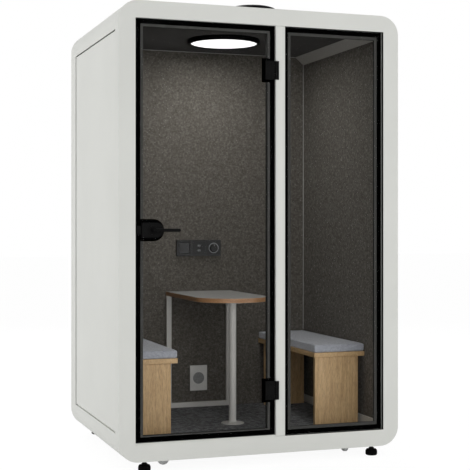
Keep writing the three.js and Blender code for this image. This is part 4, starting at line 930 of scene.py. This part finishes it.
# %% Air inlet
low, high = box("air_inlet")
inlet = ((low[0] + high[0]) / 2, low[1], (low[2] + high[2]) / 2)
HOLE_PITCH_MM = 4.5
mesh_grille, tree, shader, place = material("perforated_grey_steel", Roughness=0.45, Metallic=0.3)
spot = add(tree, "Mapping", {"Vector": place, "Scale": (1, 0, 1)})
grid = {"Vector": spot, "Scale": per_metre(HOLE_PITCH_MM), "Randomness": 0.0}
dots = add(tree, "TexVoronoi", grid)
shades = [(0.3, "#161617"), (0.36, "#9B9C9B")]
sieve = add(tree, "ValToRGB", {"Fac": dots}, shades, shader.inputs["Base Color"])
add(tree, "Bump", {"Height": sieve, "Distance": 0.8 * MM}, to=shader.inputs["Normal"])
grille = soften([(0, -0.3), (0, 1.0), (32, 1.0), (34.5, 0.2), (34.5, -0.3), (0, -0.3)], 0.5, 4) * MM
make("inlet_grille", [turned(grille * [1, -1], inlet, "Y", 64)], mesh_grille, "pod")
filter_disc = np.array([(0, 9.5), (33.5, 9.5), (33.5, 12), (0, 12)]) * MM
make("inlet_filter", [turned(filter_disc, inlet, "Y", 32)], black_rubber, "pod")
print("inlet at", np.round(inlet, 3))

# %% [markdown]
# ## Corner beads
# Where two felt walls meet the maker fits a slim pale bead, seen as a light line in both rear
# corners and along the ceiling. A bead is a long block with round edges, half sunk in the felt, so
# that it catches the light as the real one does.

# %% Corner beads
wall = box("right_wall_felt")[0][0]
rear = box("back_wall_felt")[0][1]
COVE_WIDTH, CEILING_DEPTH, BEAD = 55 * MM, 14.7 * MM, 5 * MM
BEAD_START, BEAD_END, BEAD_ROUND = 2 * MM, 4 * MM, 2 * MM
cove = wall - COVE_WIDTH
seat_top = box("right_bench_cushion")[1][2]
ceiling_low, ceiling_high = box("ceiling_panel")
ceiling_face = ceiling_high[2] - CEILING_DEPTH
beads = [soft_block((s * wall - BEAD / 2, rear - BEAD, seat_top + BEAD_START),
                    (s * wall + BEAD / 2, rear + BEAD / 2, ceiling_low[2] + BEAD_END), BEAD_ROUND)
         for s in (-1, 1)]
beads.append(soft_block((-cove, rear - BEAD, ceiling_face - BEAD / 2),
                        (cove, rear + BEAD / 2, ceiling_face + BEAD / 2), BEAD_ROUND))
make("corner_beads", beads, bead_paint, "pod")
print("beads from z", round(seat_top, 3), "to", round(float(ceiling_face), 3))

# %% [markdown]
# ## Feet and caster wheels
# A foot is a rubber pad under a black nut, on a threaded stud. The thread is a fine zigzag in the
# turned profile, because a true helix would look the same at this size. A wheel has a soft tread
# with a groove, and a dished hub with a raised boss round the axle.

# %% Feet and wheels
pad = soften([(0, 0), (26, 0), (31, 5), (31, 22), (26, 32), (0, 32)], 3, 6) * MM
nut = np.array([(0, 31.5), (13.5, 31.5), (15, 32.5), (15, 39), (13.5, 40), (0, 40)]) * MM
CREST_MM, ROOT_MM = 8.0, 7.2
STUD_START_MM, STUD_END_MM, HALF_PITCH_MM = 39.5, 90, 1.0
turns = np.arange(STUD_START_MM, STUD_END_MM, HALF_PITCH_MM)
thread = np.stack([np.where(np.arange(len(turns)) % 2, CREST_MM, ROOT_MM), turns], -1)
stud = np.concatenate([[(0, turns[0])], thread, [(0, turns[-1])]]) * MM
half_wheel = [(4.3, 12), (9, 12), (11, 10.3), (21, 10.3), (23, 12), (27, 12), (31, 7), (31, 1.2),
              (30, 0)]
mirrored = [(r, -h) for r, h in half_wheel[-2::-1]]
wheel_profile = soften(half_wheel + mirrored + half_wheel[:1], 0.8, 4) * MM
for corner in CORNERS:
    x, y, _ = middle_of(f"{corner}_foot")
    under = (x, y, 0)
    make(f"{corner}_foot_pad", [turned(pad, under)], black_rubber, f"{corner}_leveller",
         [f"{corner}_foot"])
    hardware = [turned(nut, under, steps=6), turned(stud, under, steps=20)]
    make(f"{corner}_foot_stud", hardware, black_paint, f"{corner}_leveller")
    low, high = box(f"{corner}_caster_wheel")
    axle = "XYZ"[int(np.argmin(high - low))]
    make(f"{corner}_wheel_tyre", [turned(wheel_profile, (low + high) / 2, axle, 56, True)], tread,
         f"{corner}_roller", [f"{corner}_caster_wheel"])
print("feet and wheels:", len(CORNERS))

# %% [markdown]
# ## Seat cushions
# A foam seat in a sewn cover swells a little where the cover is slack and is held along its seams.
# The solid has only the faces that its form needs, and cloth moves well only on small faces of one
# size, so it is remeshed first. Both benches are the same, so one cushion is made and moved across
# for the other.

# %% Remesh one cushion
VOXEL = 4.5 * MM
bm = bmesh.new()
bm.from_mesh(frame["nodes"]["right_bench_cushion"].data)
bmesh.ops.remove_doubles(bm, verts=bm.verts, dist=NODE_DOUBLE)
cushion_mesh = bpy.data.meshes.new("cushion_form")
bm.to_mesh(cushion_mesh)
bm.free()
form = bpy.data.objects.new("cushion_form", cushion_mesh)
scene.collection.objects.link(form)
remesh = form.modifiers.new("even_cover", "REMESH")
remesh.mode, remesh.voxel_size = "VOXEL", VOXEL
view_layer = bpy.context.view_layer
view_layer.update()
even = bpy.data.meshes.new_from_object(form.evaluated_get(bpy.context.evaluated_depsgraph_get()))
form.modifiers.clear()
form.data = even
rest = np.empty(len(even.vertices) * 3, np.float32)
even.vertices.foreach_get("co", rest)
rest = rest.reshape(-1, 3)
print("cushion points:", len(rest))

# %% [markdown]
# The side band lies between the seams. It is laid onto a smooth form that is drawn in between the
# corners and a little hollow halfway up, because the small steps of the remesh would show on it.

# %% Draw in its sides
BAND = (6 * MM, 36 * MM)
NEAR_SIDE = 5 * MM
DRAWN_IN = 2 * MM
HOLLOW = 0.4 * MM
seat_low, seat_high = box("right_bench_cushion")
centre, half = (seat_low + seat_high) / 2, (seat_high - seat_low) / 2
away = rest - centre
rise = (rest[:, 2] - seat_low[2] - BAND[0]) / (BAND[1] - BAND[0])
for axis, along in ((0, 1), (1, 0)):
    flank = (rise > 0) & (rise < 1) & (np.abs(away[:, axis]) > half[axis] - NEAR_SIDE)
    pull = DRAWN_IN * np.cos(np.pi / 2 * away[flank, along] / half[along])
    pull += HOLLOW * np.sin(np.pi * rise[flank])
    outward = np.sign(away[flank, axis])
    rest[flank, axis] += outward * (half[axis] - pull) - away[flank, axis]
even.vertices.foreach_set("co", rest.ravel())
even.update()
print("sides drawn in by at most", round((DRAWN_IN + HOLLOW) / MM, 2), "mm")

# %% [markdown]
# A cloth simulation blows the cover up with a light inner pressure, held at its underside. Its
# movement is evened out between neighbouring points, because the foam takes up small ripples, and
# is capped so that the cushion keeps its size.

# %% Blow up the cover
PRESSURE = 1.2
STRETCH_STIFFNESS, BENDING_STIFFNESS = 40, 20
STEPS_PER_FRAME, LAST_FRAME = 4, 20
HELD_HEIGHT = 6 * MM
MOST_SWELL = 0.8 * MM
EASING_PASSES = 60
held = form.vertex_groups.new(name="held")
held.add(np.flatnonzero(rest[:, 2] < seat_low[2] + HELD_HEIGHT).tolist(), 1.0, "REPLACE")
swollen = rest
cloth = form.modifiers.new("cover", "CLOTH")
cloth.settings.quality = STEPS_PER_FRAME
cloth.settings.tension_stiffness = STRETCH_STIFFNESS
cloth.settings.compression_stiffness = STRETCH_STIFFNESS
cloth.settings.bending_stiffness = BENDING_STIFFNESS
cloth.settings.use_pressure, cloth.settings.uniform_pressure_force = True, PRESSURE
cloth.settings.vertex_group_mass = held.name
cloth.settings.effector_weights.gravity = 0
cloth.collision_settings.use_collision = False
cloth.point_cache.frame_start, cloth.point_cache.frame_end = 1, LAST_FRAME
for step in range(1, LAST_FRAME + 1):
    scene.frame_set(step)
now = bpy.context.evaluated_depsgraph_get()
blown = bpy.data.meshes.new_from_object(form.evaluated_get(now))
after = np.empty(len(blown.vertices) * 3, np.float32)
blown.vertices.foreach_get("co", after)
move = after.reshape(-1, 3) - rest
ends = np.empty(len(even.edges) * 2, np.int32)
even.edges.foreach_get("vertices", ends)
one, other = ends.reshape(-1, 2).T
neighbours = np.bincount(ends, minlength=len(rest))[:, None]
for _ in range(EASING_PASSES):
    total = np.zeros_like(move)
    np.add.at(total, one, move[other])
    np.add.at(total, other, move[one])
    move = (move + total / neighbours) / 2
far = np.linalg.norm(move, axis=1, keepdims=True)
swollen = rest + move * np.minimum(1, MOST_SWELL / np.maximum(far, 1e-9))
scene.frame_set(1)
form.modifiers.clear()
print("movement in mm before the cap:", np.round([far.mean() / MM, far.max() / MM], 2))
even.vertices.foreach_set("co", swollen.astype(np.float32).ravel())
even.shade_smooth()
print("cover height in mm:", round(float(np.ptp(swollen[:, 2])) / MM, 1))

# %% [markdown]
# The cover is closed by two seams, above and below the side band. Each is a piping: a thin cord
# in a strip of the same cloth. Its path is the seat's outline, laid onto the simulated cover.

# %% Place the cushions and sew the seams
PIPING = 1.0 * MM
LOWER_SEAM, UPPER_SEAM = 7 * MM, 6 * MM


def seam_loop(height):
    """Points round the seat at one height, each moved to the nearest point of the cover."""
    angle = np.linspace(0, 2 * np.pi, 240, endpoint=False)
    reach = np.maximum(np.abs(np.cos(angle)) / half[0], np.abs(np.sin(angle)) / half[1])
    ring = np.stack([centre[0] + np.cos(angle) / reach, centre[1] + np.sin(angle) / reach,
                     np.full_like(angle, height)], -1)
    laid = np.array([form.closest_point_on_mesh(point)[1] for point in ring])
    return (np.roll(laid, 1, 0) + laid * 2 + np.roll(laid, -1, 0)) / 4


view_layer.update()
seams = [swept(seam_loop(z), PIPING, PIPING, (0, 0, 1), 2.0, 8, loop=True)
         for z in (seat_low[2] + LOWER_SEAM, seat_high[2] - UPPER_SEAM)]
across = box("left_bench_cushion")[0] - seat_low
for side, shift in (("right", np.zeros(3)), ("left", across)):
    cover = even.copy()
    cover.name = f"{side}_seat_cover"
    cover.vertices.foreach_set("co", (swollen + shift).astype(np.float32).ravel())
    seat = place_piece(cover, seat_fabric, "pod", [f"{side}_bench_cushion"])
    make(f"{side}_seat_piping", [(points + shift, faces) for points, faces in seams], seat_fabric,
         "pod")
bpy.data.objects.remove(form)
print("cushions placed, moved across by", np.round(across, 3))

# %% [markdown]
# ## Floor and surround
# A pale floor and a white surround, as in a product picture. To the rays that show them they are
# almost white, and for the rest they light the pod at a plain level, so that its colours come out
# about as they are written. A part of the floor's look stays its paint, which keeps the shadow.

# %% Floor and surround
FLOOR_REACH, FLOOR_DROP, FLOOR_DRIFT_MM = 40.0, 0.5 * MM, 800
FLOOR_WHITENESS, FLOOR_SHINE, SKY_LIGHT = 0.88, 1.06, 0.46
floor_mesh = bpy.data.meshes.new("studio_floor")
corner_signs = np.array([(-1, -1), (1, -1), (1, 1), (-1, 1)])
floor_points = np.concatenate([corner_signs * FLOOR_REACH, np.full((4, 1), -FLOOR_DROP)], 1)
floor_mesh.from_pydata(floor_points.tolist(), [], [(0, 1, 2, 3)])
floor = bpy.data.objects.new("studio_floor", floor_mesh)
scene.collection.objects.link(floor)
floor_paint, tree, shader, place = material("white_studio_floor", Roughness=0.9)
grit = add(tree, "TexNoise", {"Vector": place, "Scale": per_metre(FLOOR_DRIFT_MM), "Detail": 2.0})
shades = [(0.3, "#F4F4F4"), (0.7, "#F8F8F8")]
add(tree, "ValToRGB", {"Fac": grit}, shades, shader.inputs["Base Color"])
shine = add(tree, "Emission", {"Color": linear("#FFFFFF"), "Strength": FLOOR_SHINE})
lift = shown_as(tree, 0.0, FLOOR_WHITENESS)
lifted = add(tree, "MixShader", {"Fac": lift}, to=tree.nodes["Material Output"].inputs["Surface"])
tree.links.new(shader.outputs["BSDF"], lifted.inputs[1])
tree.links.new(shine.outputs["Emission"], lifted.inputs[2])
floor_mesh.materials.append(floor_paint)

world = bpy.data.worlds.new("white_surround")
scene.world = world
world.use_nodes = True
tree = world.node_tree
level = shown_as(tree, SKY_LIGHT, 1.0)
background = tree.nodes["Background"]
background.inputs["Color"].default_value = linear("#FFFFFF")
tree.links.new(level.outputs["Result"], background.inputs["Strength"])
print("floor and surround ready")

# %% [markdown]
# ## Lamps
# Four broad square lamps stand in front, at the front right, at the left and behind. Their size
# makes soft shadows, as a studio's light boxes do, where a small lamp would draw hard ones.

# %% Lamps
LAMP_SIZE = 3.5


def soft_lamp(name, place, target, watts):
    """A square area lamp at a place, turned to face a target."""
    light = bpy.data.lights.new(name, "AREA")
    light.shape, light.size, light.energy = "SQUARE", LAMP_SIZE, watts
    lamp = bpy.data.objects.new(name, light)
    lamp.location = place
    lamp.rotation_euler = (Vector(target) - Vector(place)).to_track_quat("-Z", "Y").to_euler()
    scene.collection.objects.link(lamp)


soft_lamp("key", (-0.6, -6.2, 2.0), (0, -0.4, 1.0), 80)
soft_lamp("fill", (3.6, -5.4, 1.4), (0, -0.4, 0.9), 52)
soft_lamp("side", (-5.5, 0.8, 2.4), (-0.7, 0, 1.0), 88)
soft_lamp("rear", (1.5, 6.0, 4.0), (0, 0.6, 1.2), 80)

# %% [markdown]
# ## Camera
# The camera stands to the left of the door, level, at about the height of the lock, with a long
# lens. Its focal length and the middle of its view are written in the picture's pixels, and the
# lens and the shift follow from them. A shifted view keeps the uprights parallel, where a tilted
# camera would not.

# %% Camera
PICTURE = 470
FOCAL_PIXELS = 1179.0
PRINCIPAL = (254.6, 226.3)
CAMERA_PLACE = (-2.05, -6.1577, 1.199)
CAMERA_TURN = np.radians(-19.69)
camera_data = bpy.data.cameras.new("camera")
camera_data.sensor_width = 36.0
camera_data.lens = camera_data.sensor_width * FOCAL_PIXELS / PICTURE
camera_data.shift_x = (PICTURE / 2 - PRINCIPAL[0]) / PICTURE
camera_data.shift_y = (PRINCIPAL[1] - PICTURE / 2) / PICTURE
camera = bpy.data.objects.new("camera", camera_data)
camera.location = CAMERA_PLACE
camera.rotation_euler = (np.radians(90), 0, CAMERA_TURN)
scene.collection.objects.link(camera)
scene.camera = camera
print("lens:", round(camera_data.lens, 2), "shift:", camera_data.shift_x, camera_data.shift_y)
